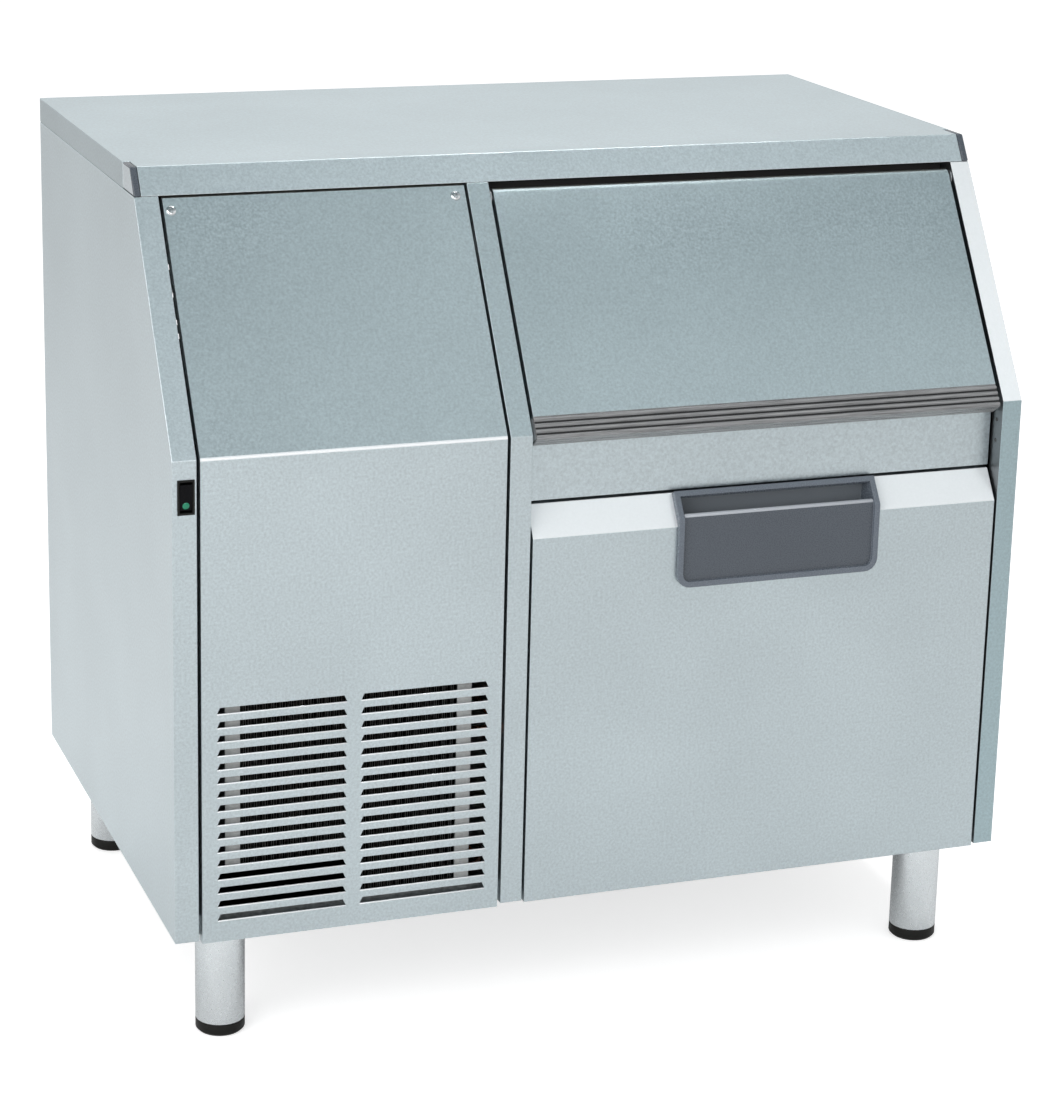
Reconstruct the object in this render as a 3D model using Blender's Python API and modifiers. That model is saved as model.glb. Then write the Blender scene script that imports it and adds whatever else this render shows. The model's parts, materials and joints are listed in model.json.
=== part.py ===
"""Under-counter flake ice maker with a louvred service side, a flap lid and an ice drawer.

The cabinet stands on four tube legs. Its left third holds the machine, and its right two
thirds hold an insulated ice bin, closed by a sloped lid above and by a drawer below.
Every place is measured from the middle of the width, from the front face backwards
(depth) and from the floor up. Lengths are in metres.
"""

import math

import bmesh
import bpy
from mathutils import Matrix, Vector

# General clearances and sheet
GAP = 0.0003
OVERRUN = 0.005
SHEET = 0.0015
THIN_SHEET = 0.001

# Cabinet
CABINET_WIDTH = 0.900
CABINET_DEPTH = 0.600
UNDERSIDE_Z = 0.123
BEND_Z = 0.614
SHOULDER_Z = 0.8385
SLOPE_SETBACK = 0.146
PULL_PROUD = 0.005
SIDE_X = CABINET_WIDTH / 2

# Corner posts, which are folds of the side panels, and the centre post
POST_DEPTH = 0.022
LEFT_POST_WIDTH = 0.024
RIGHT_POST_WIDTH = 0.0216
SERVICE_WIDTH = 0.3381
CENTRE_POST_WIDTH = 0.0229
CENTRE_POST_LEFT_X = SERVICE_WIDTH - SIDE_X
CENTRE_POST_RIGHT_X = CENTRE_POST_LEFT_X + CENTRE_POST_WIDTH

# Worktop
WORKTOP_THICKNESS = 0.0265
CAP_FRONT_WIDTH = 0.007
CAP_SIDE_LENGTH = 0.030
CAP_PROUD = 0.0008
CAP_ROUNDING = 0.0015

# Base, legs and feet
BASE_LIFT = 0.002
BASE_SHEET = 0.002
BASE_LIP = 0.020
LEG_DIAMETER = 0.050
LEG_WALL = 0.0015
LEG_HEAD = 0.012
LEG_BOSS_RADIUS = 0.014
LEG_SIDE_INSET = 0.0595
LEG_FRONT_INSET = 0.0565
LEG_BACK_INSET = 0.050
FOOT_HEIGHT = 0.013
FOOT_EDGE = 0.003
FOOT_PLUG = 0.028

# Rear panel
REAR_RECESS = 0.029
VENT_COUNT = 8
VENT_WIDTH = 0.180
VENT_HEIGHT = 0.006
VENT_PITCH = 0.016
VENT_INSET = 0.180
VENT_X = VENT_INSET - SIDE_X
VENT_LOW_Z = 0.560

# Service panel with its two columns of pressed louvres
PANEL_SIDE_GAP = 0.0034
PANEL_LEFT_X = LEFT_POST_WIDTH + PANEL_SIDE_GAP - SIDE_X
PANEL_RIGHT_X = CENTRE_POST_LEFT_X - PANEL_SIDE_GAP
PANEL_LOW_Z = 0.120
PANEL_TOP_Z = 0.8365
PANEL_RETURN = 0.012
PANEL_BEND_RADIUS = 0.006
BEND_STEPS = 4
LOUVRE_ROWS = 16
LOUVRE_PITCH = 0.01437
LOUVRE_LOW_Z = 0.1425
LOUVRE_HEIGHT = 0.0065
LOUVRE_TAPER = 0.003
LOUVRE_FLAP = 0.006
LOUVRE_FLAP_DROP = 0.002
LOUVRE_FLAP_SHEET = 0.001
LOUVRE_COLUMNS = ((-0.4073, -0.2760), (-0.2617, -0.1295))
SCREW_HOLE_RADIUS = 0.0023
LEFT_SCREW_INSET = 0.0071
RIGHT_SCREW_INSET = 0.0105
LEFT_SCREW_Z = 0.8255
RIGHT_SCREW_Z = 0.8275

# Power switch in the left post
SWITCH_INSET = 0.0135
SWITCH_X = SWITCH_INSET - SIDE_X
SWITCH_LOW_Z = 0.561
SWITCH_TOP_Z = 0.5955
SWITCH_WIDTH = 0.017
SWITCH_FRAME = 0.0022
SWITCH_PROUD = 0.001
SWITCH_BODY_DEPTH = 0.015
SWITCH_BODY_INSET = 0.0013
ROCKER_PIVOT_DEPTH = 0.004
ROCKER_CREST = 0.0018
ROCKER_SINK = 0.0008
ROCKER_DEPTH = 0.009
ROCKER_CLEARANCE = 0.0018

# Insulated bin
BIN_WALL = 0.030
BIN_SIDE_GAP = 0.0024
BIN_FRONT = 0.0433
BIN_BACK_GAP = 0.040
BIN_BACK = CABINET_DEPTH - BIN_BACK_GAP
BIN_FLOOR_LIFT = 0.033
BIN_ROOF = 0.030
RAIL_FRONT = 0.020
RAIL_BACK = 0.060
RAIL_LOW_Z = 0.5415
RAIL_SKIRT_Z = 0.510

# Lid
LID_LEFT_GAP = 0.0036
LID_RIGHT_GAP = 0.0046
LID_LEFT_X = CENTRE_POST_RIGHT_X + LID_LEFT_GAP
LID_RIGHT_X = SIDE_X - RIGHT_POST_WIDTH - LID_RIGHT_GAP
LID_THICKNESS = 0.018
LID_TOP_Z = 0.835
LID_ROUND_STEPS = 10
LID_LINER_SHEET = 0.0025
LID_LINER_STOP = 0.020
GRIP_TOP = 0.0191
GRIP_LOW = -0.0048
GRIP_PROUD = 0.001
GRIP_PLATE = 0.003
GRIP_WEB = 0.0025
GRIP_RIBS = 4
GRIP_GROOVE_DEPTH = 0.0014
GRIP_GROOVE_SHARE = 0.35
HINGE_SHEET = 0.0018
HINGE_PIN_RADIUS = 0.003
HINGE_PIN_LENGTH = 0.014
HINGE_ARM_LENGTH = 0.050
HINGE_ARM_WIDTH = 0.016

# Drawer
DRAWER_SIDE_GAP = 0.0026
DRAWER_LEFT_X = CENTRE_POST_RIGHT_X + DRAWER_SIDE_GAP
DRAWER_RIGHT_X = SIDE_X - RIGHT_POST_WIDTH - DRAWER_SIDE_GAP
DRAWER_LOW_Z = 0.121
DRAWER_BEVEL_Z = 0.508
DRAWER_TOP_Z = 0.5385
DRAWER_FRONT_DEPTH = 0.035
DRAWER_LINER = 0.003
GASKET_WIDTH = 0.014
GASKET_INSET = 0.008
TUB_WALL = 0.003
TUB_LOW_Z = 0.175
TUB_TOP_Z = 0.500
TUB_FRONT = DRAWER_FRONT_DEPTH + DRAWER_LINER + 2 * GAP
TUB_BACK_GAP = 0.0414
TUB_LENGTH = BIN_BACK - BIN_WALL - TUB_BACK_GAP - TUB_FRONT
TUB_CORNER = 0.012
RUNNER_LENGTH = TUB_LENGTH
RUNNER_HEIGHT = 0.045
RUNNER_Z = 0.380
RUNNER_WIDTH = 0.0174
RUNNER_SHEET = 0.0012
RUNNER_NEST = 0.0005

# Pull on the drawer front
PULL_WIDTH = 0.2228
PULL_OFFSET = 0.0099
PULL_X = (DRAWER_LEFT_X + DRAWER_RIGHT_X) / 2 + PULL_OFFSET
PULL_LEFT_X = PULL_X - PULL_WIDTH / 2
PULL_RIGHT_X = PULL_X + PULL_WIDTH / 2
PULL_LOW_Z = 0.4445
PULL_BEND_Z = 0.516
PULL_BEVEL_PROUD = 0.0075
PULL_RIM = 0.006
PULL_CORNER = 0.014
PULL_INNER_CORNER = 0.008
PULL_WALL = 0.0022
PULL_PLATE_FRONT = -0.0015
PULL_PLATE = 0.004
PULL_LIP_Z = 0.5195
PULL_POCKET_DEPTH = 0.0285
PULL_POCKET_FLOOR_Z = 0.470
PULL_BAR = 0.006
PULL_BAR_STOP = 0.001
CORNER_STEPS = 5

# Condenser and its fan
COIL_INSET = 0.070
COIL_POST_GAP = 0.0461
COIL_LEFT_X = COIL_INSET - SIDE_X
COIL_RIGHT_X = CENTRE_POST_LEFT_X - COIL_POST_GAP
COIL_FRONT = 0.0145
COIL_DEPTH = 0.044
COIL_LOW_Z = 0.140
COIL_TOP_Z = 0.362
COIL_FINS = 24
COIL_FIN_DEPTH = 0.006
COIL_FIN_SHARE = 0.45
COIL_PLATE_WIDTH = 0.016
COIL_FRAME_SHEET = 0.0015
BEND_ROWS = 4
BEND_TUBE_RADIUS = 0.0048
BEND_REACH = 0.009
SHROUD_SHEET = 0.002
SHROUD_RING_WALL = 0.003
SHROUD_RING_DEPTH = 0.028
FAN_RADIUS = 0.098
FAN_TIP_GAP = 0.005
FAN_HUB_RADIUS = 0.022
FAN_HUB_DEPTH = 0.022
FAN_BLADES = 5
FAN_BLADE_ANGLE = math.radians(28)
FAN_BLADE_SHEET = 0.002
FAN_CHORD = 0.048
FAN_ROOT_SHARE = 0.55
FAN_FRONT_GAP = 0.004
FAN_BORE_CLEARANCE = 0.0003
MOTOR_RADIUS = 0.040
MOTOR_DEPTH = 0.060
MOTOR_GAP = 0.002
MOTOR_SHAFT_RADIUS = 0.004
MOTOR_ARM_WIDTH = 0.012
MOTOR_ARM_DEPTH = 0.004

# Ice maker: gear motor, freezing cylinder, auger and spout
ICE_INSET = 0.265
ICE_X = ICE_INSET - SIDE_X
ICE_DEPTH = CABINET_DEPTH / 2
GEAR_FOOT_RADIUS = 0.080
GEAR_FOOT_HEIGHT = 0.008
GEAR_MOTOR_RADIUS = 0.052
GEAR_CASE_RADIUS = 0.068
GEAR_CASE_LOW_Z = 0.235
GEAR_TOP_Z = 0.300
GEAR_ROUNDING = 0.008
SOCKET_DEPTH = 0.025
CYLINDER_TOP_Z = 0.620
CYLINDER_RADIUS = 0.062
CYLINDER_FLANGE_RADIUS = 0.070
CYLINDER_FLANGE = 0.012
BORE_RADIUS = 0.0295
AUGER_CLEARANCE = 0.0006
AUGER_CORE_RADIUS = 0.011
AUGER_FLIGHT_SHEET = 0.004
AUGER_PITCH = 0.045
AUGER_TURNS = 6
AUGER_STEPS = 15
AUGER_TOP_Z = 0.665
AUGER_FLIGHT_LOW_Z = 0.312
BREAKER_RADIUS = 0.024
BREAKER_HEIGHT = 0.014
HEAD_RADIUS = 0.055
HEAD_TOP_Z = 0.715
HEAD_WALL = 0.004
SPOUT_WIDTH = 0.070
SPOUT_HEIGHT = 0.056
SPOUT_HIGH_Z = 0.690
SPOUT_DROP = 0.030
SPOUT_WALL = 0.003
SPOUT_REACH = 0.012

# Water
RESERVOIR_WIDTH = 0.085
RESERVOIR_LENGTH = 0.120
RESERVOIR_FRONT = ICE_DEPTH - RESERVOIR_LENGTH / 2
RESERVOIR_BACK = ICE_DEPTH + RESERVOIR_LENGTH / 2
RESERVOIR_LOW_Z = 0.560
RESERVOIR_TOP_Z = 0.650
RESERVOIR_WALL = 0.0025
RESERVOIR_TAP_RADIUS = 0.007
RESERVOIR_TAP_LENGTH = 0.016
FLOAT_PIVOT_RADIUS = 0.0025
FLOAT_PIVOT_DROP = 0.010
FLOAT_PIVOT_INSET = 0.012
FLOAT_LENGTH = 0.060
FLOAT_WIDTH = 0.036
FLOAT_HEIGHT = 0.022
FLOAT_ARM = 0.004
FLOAT_DROP = 0.020
HOSE_RADIUS = 0.006
COPPER_RADIUS = 0.004
SUCTION_RADIUS = 0.0055
TUBE_BEND = 0.020
TUBE_BEND_STEPS = 3
VALVE_INSET = 0.105
VALVE_X = VALVE_INSET - SIDE_X
VALVE_Z = 0.480
VALVE_BODY_RADIUS = 0.013
VALVE_THREAD_RADIUS = 0.0132
VALVE_REACH = 0.022
VALVE_BODY_DEPTH = 0.040
VALVE_COIL = 0.030
DRAIN_X = (CENTRE_POST_RIGHT_X + SIDE_X - RIGHT_POST_WIDTH) / 2
DRAIN_RADIUS = 0.012
DRAIN_WALL = 0.002
DRAIN_FLANGE_RADIUS = 0.018
DRAIN_FLANGE = 0.002
GLAND_INSET = 0.050
GLAND_X = GLAND_INSET - SIDE_X
GLAND_Z = 0.220
GLAND_RADIUS = 0.010
GLAND_NUT_RADIUS = 0.014
GLAND_BORE_RADIUS = 0.0045
GLAND_NUT = 0.006
GLAND_REACH = 0.016

# Compressor, drier and electrics
COMPRESSOR_INSET = 0.130
COMPRESSOR_X = COMPRESSOR_INSET - SIDE_X
COMPRESSOR_BACK_INSET = 0.150
COMPRESSOR_DEPTH = CABINET_DEPTH - COMPRESSOR_BACK_INSET
COMPRESSOR_RADIUS = 0.085
COMPRESSOR_HEIGHT = 0.180
COMPRESSOR_LIFT = 0.012
COMPRESSOR_PLATE = 0.003
COMPRESSOR_PLATE_SIDE = 0.200
COMPRESSOR_DOME = 0.030
COMPRESSOR_WALL = 0.015
GROMMET_RADIUS = 0.012
GROMMET_INSET = 0.020
TERMINAL_WIDTH = 0.060
TERMINAL_HEIGHT = 0.070
TERMINAL_DEPTH = 0.028
DRIER_RADIUS = 0.013
DRIER_LENGTH = 0.110
DRIER_NECK = 0.012
BOX_WIDTH = 0.060
BOX_LENGTH = 0.150
BOX_BACK_GAP = 0.050
BOX_BACK = CABINET_DEPTH - BOX_BACK_GAP
BOX_FRONT = BOX_BACK - BOX_LENGTH
BOX_LOW_Z = 0.600
BOX_TOP_Z = 0.780
BOX_LID = 0.004

# Round pieces
ROUND_STEPS = 28
SMALL_STEPS = 16
TUBE_SIDES = 2

# Places worked out from the sizes above
SLOPE_RISE = SHOULDER_Z - BEND_Z
SLOPE_ANGLE = math.atan2(SLOPE_SETBACK, SLOPE_RISE)
FRONT_Y = -(CABINET_DEPTH - PULL_PROUD) / 2
WORKTOP_LOW_Z = SHOULDER_Z + GAP
WORKTOP_TOP_Z = SHOULDER_Z + WORKTOP_THICKNESS
BASE_Z = UNDERSIDE_Z + BASE_LIFT
FLOOR_Z = BASE_Z + BASE_SHEET
STAND_Z = FLOOR_Z + GAP
REAR_PANEL_DEPTH = CABINET_DEPTH - REAR_RECESS
BIN_LEFT_X = CENTRE_POST_RIGHT_X + BIN_SIDE_GAP
BIN_RIGHT_X = SIDE_X - RIGHT_POST_WIDTH - BIN_SIDE_GAP
LID_INNER = LID_THICKNESS + GAP
DRAIN_Z = STAND_Z + BIN_FLOOR_LIFT + DRAIN_RADIUS + GAP

metal = {}


def face_depth(height, inset=0.0):
    """Depth of the cabinet's bent front at a height, moved inwards by inset."""
    if height <= bend_height(inset):
        return inset
    return (height - BEND_Z) * math.tan(SLOPE_ANGLE) + inset / math.cos(SLOPE_ANGLE)


def bend_height(inset):
    """Height at which the front moved inwards by inset turns into the slope."""
    return BEND_Z - inset * math.tan(SLOPE_ANGLE / 2)


def slope_point(along, inward):
    """Depth and height of a point measured up the slope from its bend and inwards."""
    sine, cosine = math.sin(SLOPE_ANGLE), math.cos(SLOPE_ANGLE)
    return (along * sine + inward * cosine, BEND_Z + along * cosine - inward * sine)


def front_line(low, high, inset=0.0, radius=0.0):
    """Outline of the front from low to high, with its bend as an arc where radius allows."""
    points = [(inset, low)]
    if radius > inset:
        centre = Vector((radius, bend_height(radius)))
        for step in range(BEND_STEPS + 1):
            angle = SLOPE_ANGLE * step / BEND_STEPS
            reach = radius - inset
            points.append((centre.x - reach * math.cos(angle), centre.y + reach * math.sin(angle)))
    else:
        points.append((inset, bend_height(inset)))
    points.append((face_depth(high, inset), high))
    return points


def front_band(low, high, outer, inner, radius=0.0):
    """Closed outline of the strip between two insets of the front."""
    return front_line(low, high, outer, radius) + front_line(low, high, inner, radius)[::-1]


def finish(name, colour, roughness, metallic=0.0):
    """A Principled material of one plain colour."""
    made = bpy.data.materials.new(name)
    made.use_nodes = True
    shader = made.node_tree.nodes["Principled BSDF"]
    shader.inputs["Base Color"].default_value = (*colour, 1.0)
    shader.inputs["Roughness"].default_value = roughness
    shader.inputs["Metallic"].default_value = metallic
    made.diffuse_color = (*colour, 1.0)
    return made


def place(name, mesh, material, parent=None, location=(0.0, 0.0, 0.0)):
    """Put a mesh in the parts collection under the cabinet's empty."""
    obj = bpy.data.objects.new(name, mesh)
    parts.objects.link(obj)
    obj.parent = parent or cabinet
    obj.location = location
    obj.data.materials.append(metal[material])
    return obj


def as_cutter(obj):
    """Turn a shape into a hidden tool for a Boolean."""
    parts.objects.unlink(obj)
    cutters.objects.link(obj)
    obj.hide_render = True
    obj.display_type = "WIRE"
    return obj


def combine(target, tool, operation):
    """Add one exact Boolean to a piece."""
    step = target.modifiers.new(operation.lower(), "BOOLEAN")
    step.operation = operation
    step.solver = "EXACT"
    step.object = as_cutter(tool)
    return target


def cut(target, *tools):
    """Take each tool's shape out of a piece."""
    for tool in tools:
        combine(target, tool, "DIFFERENCE")
    return target


def fuse(target, *tools):
    """Join each tool's shape to a piece."""
    for tool in tools:
        combine(target, tool, "UNION")
    return target


def smooth(obj, angle=math.radians(35)):
    """Shade a round piece smooth between its sharp edges."""
    obj.data.shade_smooth()
    obj.data.set_sharp_from_angle(angle=angle)
    return obj


def box(name, low, high, material, parent=None):
    """A rectangular block between two corners."""
    low, high = Vector(low), Vector(high)
    shape = bmesh.new()
    bmesh.ops.create_cube(shape, size=1)
    bmesh.ops.scale(shape, vec=high - low, verts=shape.verts)
    mesh = bpy.data.meshes.new(name)
    shape.to_mesh(mesh)
    shape.free()
    shift = parent.location if parent else Vector()
    return place(name, mesh, material, parent, (low + high) / 2 - shift)


def outlines_mesh(name, outlines, low, high, axis):
    """Closed outlines extruded from low to high along an axis and closed at both ends, as one mesh."""
    flat = bpy.data.curves.new(name, "CURVE")
    flat.dimensions = "2D"
    flat.fill_mode = "NONE"
    flat.extrude = (high - low) / 2
    for outline in outlines:
        spline = flat.splines.new("POLY")
        spline.points.add(len(outline) - 1)
        for point, (across, up) in zip(spline.points, outline):
            point.co = (across, up, 0.0, 1.0)
        spline.use_cyclic_u = True
    guide = bpy.data.objects.new(name, flat)
    parts.objects.link(guide)
    bpy.context.view_layer.update()
    mesh = bpy.data.meshes.new_from_object(
        guide.evaluated_get(bpy.context.evaluated_depsgraph_get())
    )
    bpy.data.objects.remove(guide)
    middle = (low + high) / 2
    turns = {
        "X": Matrix(((0, 0, 1, middle), (1, 0, 0, 0), (0, 1, 0, 0), (0, 0, 0, 1))),
        "Y": Matrix(((1, 0, 0, 0), (0, 0, -1, middle), (0, 1, 0, 0), (0, 0, 0, 1))),
        "Z": Matrix(((1, 0, 0, 0), (0, 1, 0, 0), (0, 0, 1, middle), (0, 0, 0, 1))),
    }
    shape = bmesh.new()
    shape.from_mesh(mesh)
    bmesh.ops.remove_doubles(shape, verts=shape.verts, dist=GAP / 30)
    bmesh.ops.holes_fill(shape, edges=shape.edges, sides=0)
    bmesh.ops.transform(shape, matrix=turns[axis], verts=shape.verts)
    bmesh.ops.recalc_face_normals(shape, faces=shape.faces)
    shape.to_mesh(mesh)
    shape.free()
    mesh.name = name
    return mesh


def prism(name, outline, low, high, axis, material, parent=None):
    """One outline extruded: along X it is (depth, height), along Y (x, height), along Z (x, depth)."""
    mesh = outlines_mesh(name, [outline], low, high, axis)
    shift = -parent.location if parent else Vector()
    return place(name, mesh, material, parent, shift)


def prisms(name, outlines, low, high, axis, material):
    """Several separate outlines extruded together, for a tool that cuts or joins them all."""
    return place(name, outlines_mesh(name, outlines, low, high, axis), material)


def cylinder(name, radius, start, end, material, parent=None, steps=ROUND_STEPS):
    """A round bar from one centre point to another."""
    start, end = Vector(start), Vector(end)
    shape = bmesh.new()
    bmesh.ops.create_cone(
        shape, cap_ends=True, segments=steps, radius1=radius, radius2=radius, depth=(end - start).length
    )
    turn = (end - start).to_track_quat("Z", "Y").to_matrix().to_4x4()
    bmesh.ops.transform(shape, matrix=turn, verts=shape.verts)
    mesh = bpy.data.meshes.new(name)
    shape.to_mesh(mesh)
    shape.free()
    shift = parent.location if parent else Vector()
    return smooth(place(name, mesh, material, parent, (start + end) / 2 - shift))


def turned(name, profile, centre, material, parent=None, steps=ROUND_STEPS, direction=(0, 0, 1)):
    """A profile of (radius, height) pairs, from the top down its outer side, turned about an axis."""
    mesh = bpy.data.meshes.new(name)
    count = len(profile)
    edges = [(index, (index + 1) % count) for index in range(count)]
    if profile[0][0] == 0 and profile[-1][0] == 0:
        edges.pop()
    mesh.from_pydata([(radius, 0.0, height) for radius, height in profile], edges, [])
    shift = parent.location if parent else Vector()
    obj = place(name, mesh, material, parent, Vector(centre) - shift)
    obj.rotation_euler = Vector(direction).to_track_quat("Z", "Y").to_euler()
    spin = obj.modifiers.new("turn", "SCREW")
    spin.axis = "Z"
    spin.steps = steps
    spin.render_steps = steps
    spin.use_merge_vertices = True
    spin.merge_threshold = GAP / 30
    spin.use_smooth_shade = True
    return obj


def route_with_bends(corners, radius=TUBE_BEND):
    """Points of a bent tube: straight runs between corners, and an arc at each inner corner."""
    corners = [Vector(corner) for corner in corners]
    points = [corners[0]]
    for before, corner, after in zip(corners, corners[1:], corners[2:]):
        into, out = (corner - before).normalized(), (after - corner).normalized()
        turn = into.angle(out)
        reach = min(
            radius * math.tan(turn / 2), (corner - before).length / 2, (after - corner).length / 2
        )
        bend = reach / math.tan(turn / 2)
        centre = corner + (out - into).normalized() * (bend / math.cos(turn / 2))
        axis = into.cross(out).normalized()
        arm = corner - into * reach - centre
        for step in range(TUBE_BEND_STEPS + 1):
            points.append(centre + Matrix.Rotation(turn * step / TUBE_BEND_STEPS, 3, axis) @ arm)
    return points + [corners[-1]]


def tube(name, corners, radius, material, bend=TUBE_BEND):
    """A bent tube as a curve with filled ends."""
    path = bpy.data.curves.new(name, "CURVE")
    path.dimensions = "3D"
    path.bevel_depth = radius
    path.bevel_resolution = TUBE_SIDES
    path.use_fill_caps = True
    points = route_with_bends(corners, bend)
    spline = path.splines.new("POLY")
    spline.points.add(len(points) - 1)
    for knot, point in zip(spline.points, points):
        knot.co = (*point, 1.0)
    path.materials.append(metal[material])
    obj = bpy.data.objects.new(name, path)
    parts.objects.link(obj)
    obj.parent = cabinet
    return obj


def meshed(obj):
    """Replace a curve object by a welded mesh object of the same shape and name."""
    bpy.context.view_layer.update()
    mesh = bpy.data.meshes.new_from_object(obj.evaluated_get(bpy.context.evaluated_depsgraph_get()))
    shape = bmesh.new()
    shape.from_mesh(mesh)
    bmesh.ops.remove_doubles(shape, verts=shape.verts, dist=GAP / 30)
    bmesh.ops.recalc_face_normals(shape, faces=shape.faces)
    shape.to_mesh(mesh)
    shape.free()
    name = obj.name
    bpy.data.objects.remove(obj)
    made = bpy.data.objects.new(name, mesh)
    parts.objects.link(made)
    made.parent = cabinet
    return made


def pivot(name, place_at):
    """An empty on a joint's axis, which carries the pieces that move with it."""
    empty = bpy.data.objects.new(name, None)
    parts.objects.link(empty)
    empty.parent = cabinet
    empty.location = place_at
    return empty


def arc_points(centre, radius, start, end, steps=CORNER_STEPS):
    """Points along a circle's arc between two angles in radians."""
    return [
        (
            centre[0] + radius * math.cos(start + (end - start) * step / steps),
            centre[1] + radius * math.sin(start + (end - start) * step / steps),
        )
        for step in range(steps + 1)
    ]


def side_panel(name, post_width):
    """A side sheet with its front folded into a corner post and its back into a flange, at x 0 outside."""
    outline = front_line(UNDERSIDE_Z, SHOULDER_Z) + [
        (CABINET_DEPTH, SHOULDER_Z), (CABINET_DEPTH, UNDERSIDE_Z)
    ]
    panel = prism(name, outline, 0.0, post_width, "X", "satin_steel")
    low, high = UNDERSIDE_Z - OVERRUN, SHOULDER_Z + OVERRUN
    hollow = front_band(low, high, SHEET, POST_DEPTH + OVERRUN)
    inside = front_line(low, high, POST_DEPTH) + [
        (CABINET_DEPTH - SHEET, high),
        (CABINET_DEPTH - SHEET, low),
    ]
    return cut(
        panel,
        prism(f"{name}_post_hollow", hollow, SHEET, post_width - SHEET, "X", "satin_steel"),
        prism(f"{name}_inside", inside, SHEET, post_width + OVERRUN, "X", "satin_steel"),
    )


def move(obj, shift):
    """Shift a piece and the tools of its Booleans together."""
    obj.location += Vector(shift)
    for step in obj.modifiers:
        if step.type == "BOOLEAN":
            move(step.object, shift)
    return obj


def mirror_sideways(obj):
    """Turn a piece and the tools of its Booleans into their mirror image across x 0."""
    shape = bmesh.new()
    shape.from_mesh(obj.data)
    bmesh.ops.scale(shape, vec=(-1, 1, 1), verts=shape.verts)
    bmesh.ops.reverse_faces(shape, faces=shape.faces)
    shape.to_mesh(obj.data)
    shape.free()
    obj.location.x = -obj.location.x
    for step in obj.modifiers:
        if step.type == "BOOLEAN":
            mirror_sideways(step.object)
    return obj


def make_side_panels():
    """The two side panels, the left one with the switch's opening."""
    left = move(side_panel("left_side_panel", LEFT_POST_WIDTH), (-SIDE_X, 0, 0))
    half = SWITCH_WIDTH / 2 - SWITCH_BODY_INSET + GAP
    low = (SWITCH_X - half, -OVERRUN, SWITCH_LOW_Z + SWITCH_BODY_INSET - GAP)
    high = (SWITCH_X + half, SHEET + OVERRUN, SWITCH_TOP_Z - SWITCH_BODY_INSET + GAP)
    cut(left, box("switch_opening", low, high, "satin_steel"))
    right = mirror_sideways(side_panel("right_side_panel", RIGHT_POST_WIDTH))
    move(right, (SIDE_X, 0, 0))


def make_centre_post():
    """The folded post between the service panel and the bin's openings."""
    outline = front_band(UNDERSIDE_Z, SHOULDER_Z, 0, POST_DEPTH)
    post = prism(
        "centre_post", outline, CENTRE_POST_LEFT_X, CENTRE_POST_RIGHT_X, "X", "satin_steel"
    )
    low, high = UNDERSIDE_Z - OVERRUN, SHOULDER_Z + OVERRUN
    hollow = front_band(low, high, SHEET, POST_DEPTH + OVERRUN)
    left, right = CENTRE_POST_LEFT_X + SHEET, CENTRE_POST_RIGHT_X - SHEET
    cut(post, prism("centre_post_hollow", hollow, left, right, "X", "satin_steel"))


def base_outline(inset):
    """Plan of the base tray, stepped back behind the posts, the service panel and the drawer."""
    side = SIDE_X - SHEET - GAP - inset
    panel_left = -SIDE_X + LEFT_POST_WIDTH + GAP + inset
    panel_right = CENTRE_POST_LEFT_X - GAP - inset
    drawer_left = CENTRE_POST_RIGHT_X + GAP - inset
    post_back = POST_DEPTH + GAP + inset
    panel_back = PANEL_RETURN + GAP + inset
    drawer_back = BIN_FRONT + inset
    back = REAR_PANEL_DEPTH - GAP - inset
    return [
        (-side, post_back),
        (panel_left, post_back),
        (panel_left, panel_back),
        (panel_right, panel_back),
        (panel_right, post_back),
        (drawer_left, post_back),
        (drawer_left, drawer_back),
        (side, drawer_back),
        (side, back),
        (-side, back),
    ]


def make_base():
    """The base tray with its turned-up rim."""
    tray = prism("base_tray", base_outline(0), BASE_Z, BASE_Z + BASE_LIP, "Z", "zinc_steel")
    inside = base_outline(BASE_SHEET)
    step = inside.index((CENTRE_POST_RIGHT_X + GAP - BASE_SHEET, BIN_FRONT + BASE_SHEET)) + 1
    lip_back, open_depth = BIN_FRONT + BASE_SHEET, BIN_FRONT - OVERRUN
    inside[step:step] = [
        (BIN_LEFT_X - GAP, lip_back),
        (BIN_LEFT_X - GAP, open_depth),
        (BIN_RIGHT_X + GAP, open_depth),
        (BIN_RIGHT_X + GAP, lip_back),
    ]
    cut(tray, prism("base_inside", inside, FLOOR_Z, BASE_Z + BASE_LIP + OVERRUN, "Z", "zinc_steel"))


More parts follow.
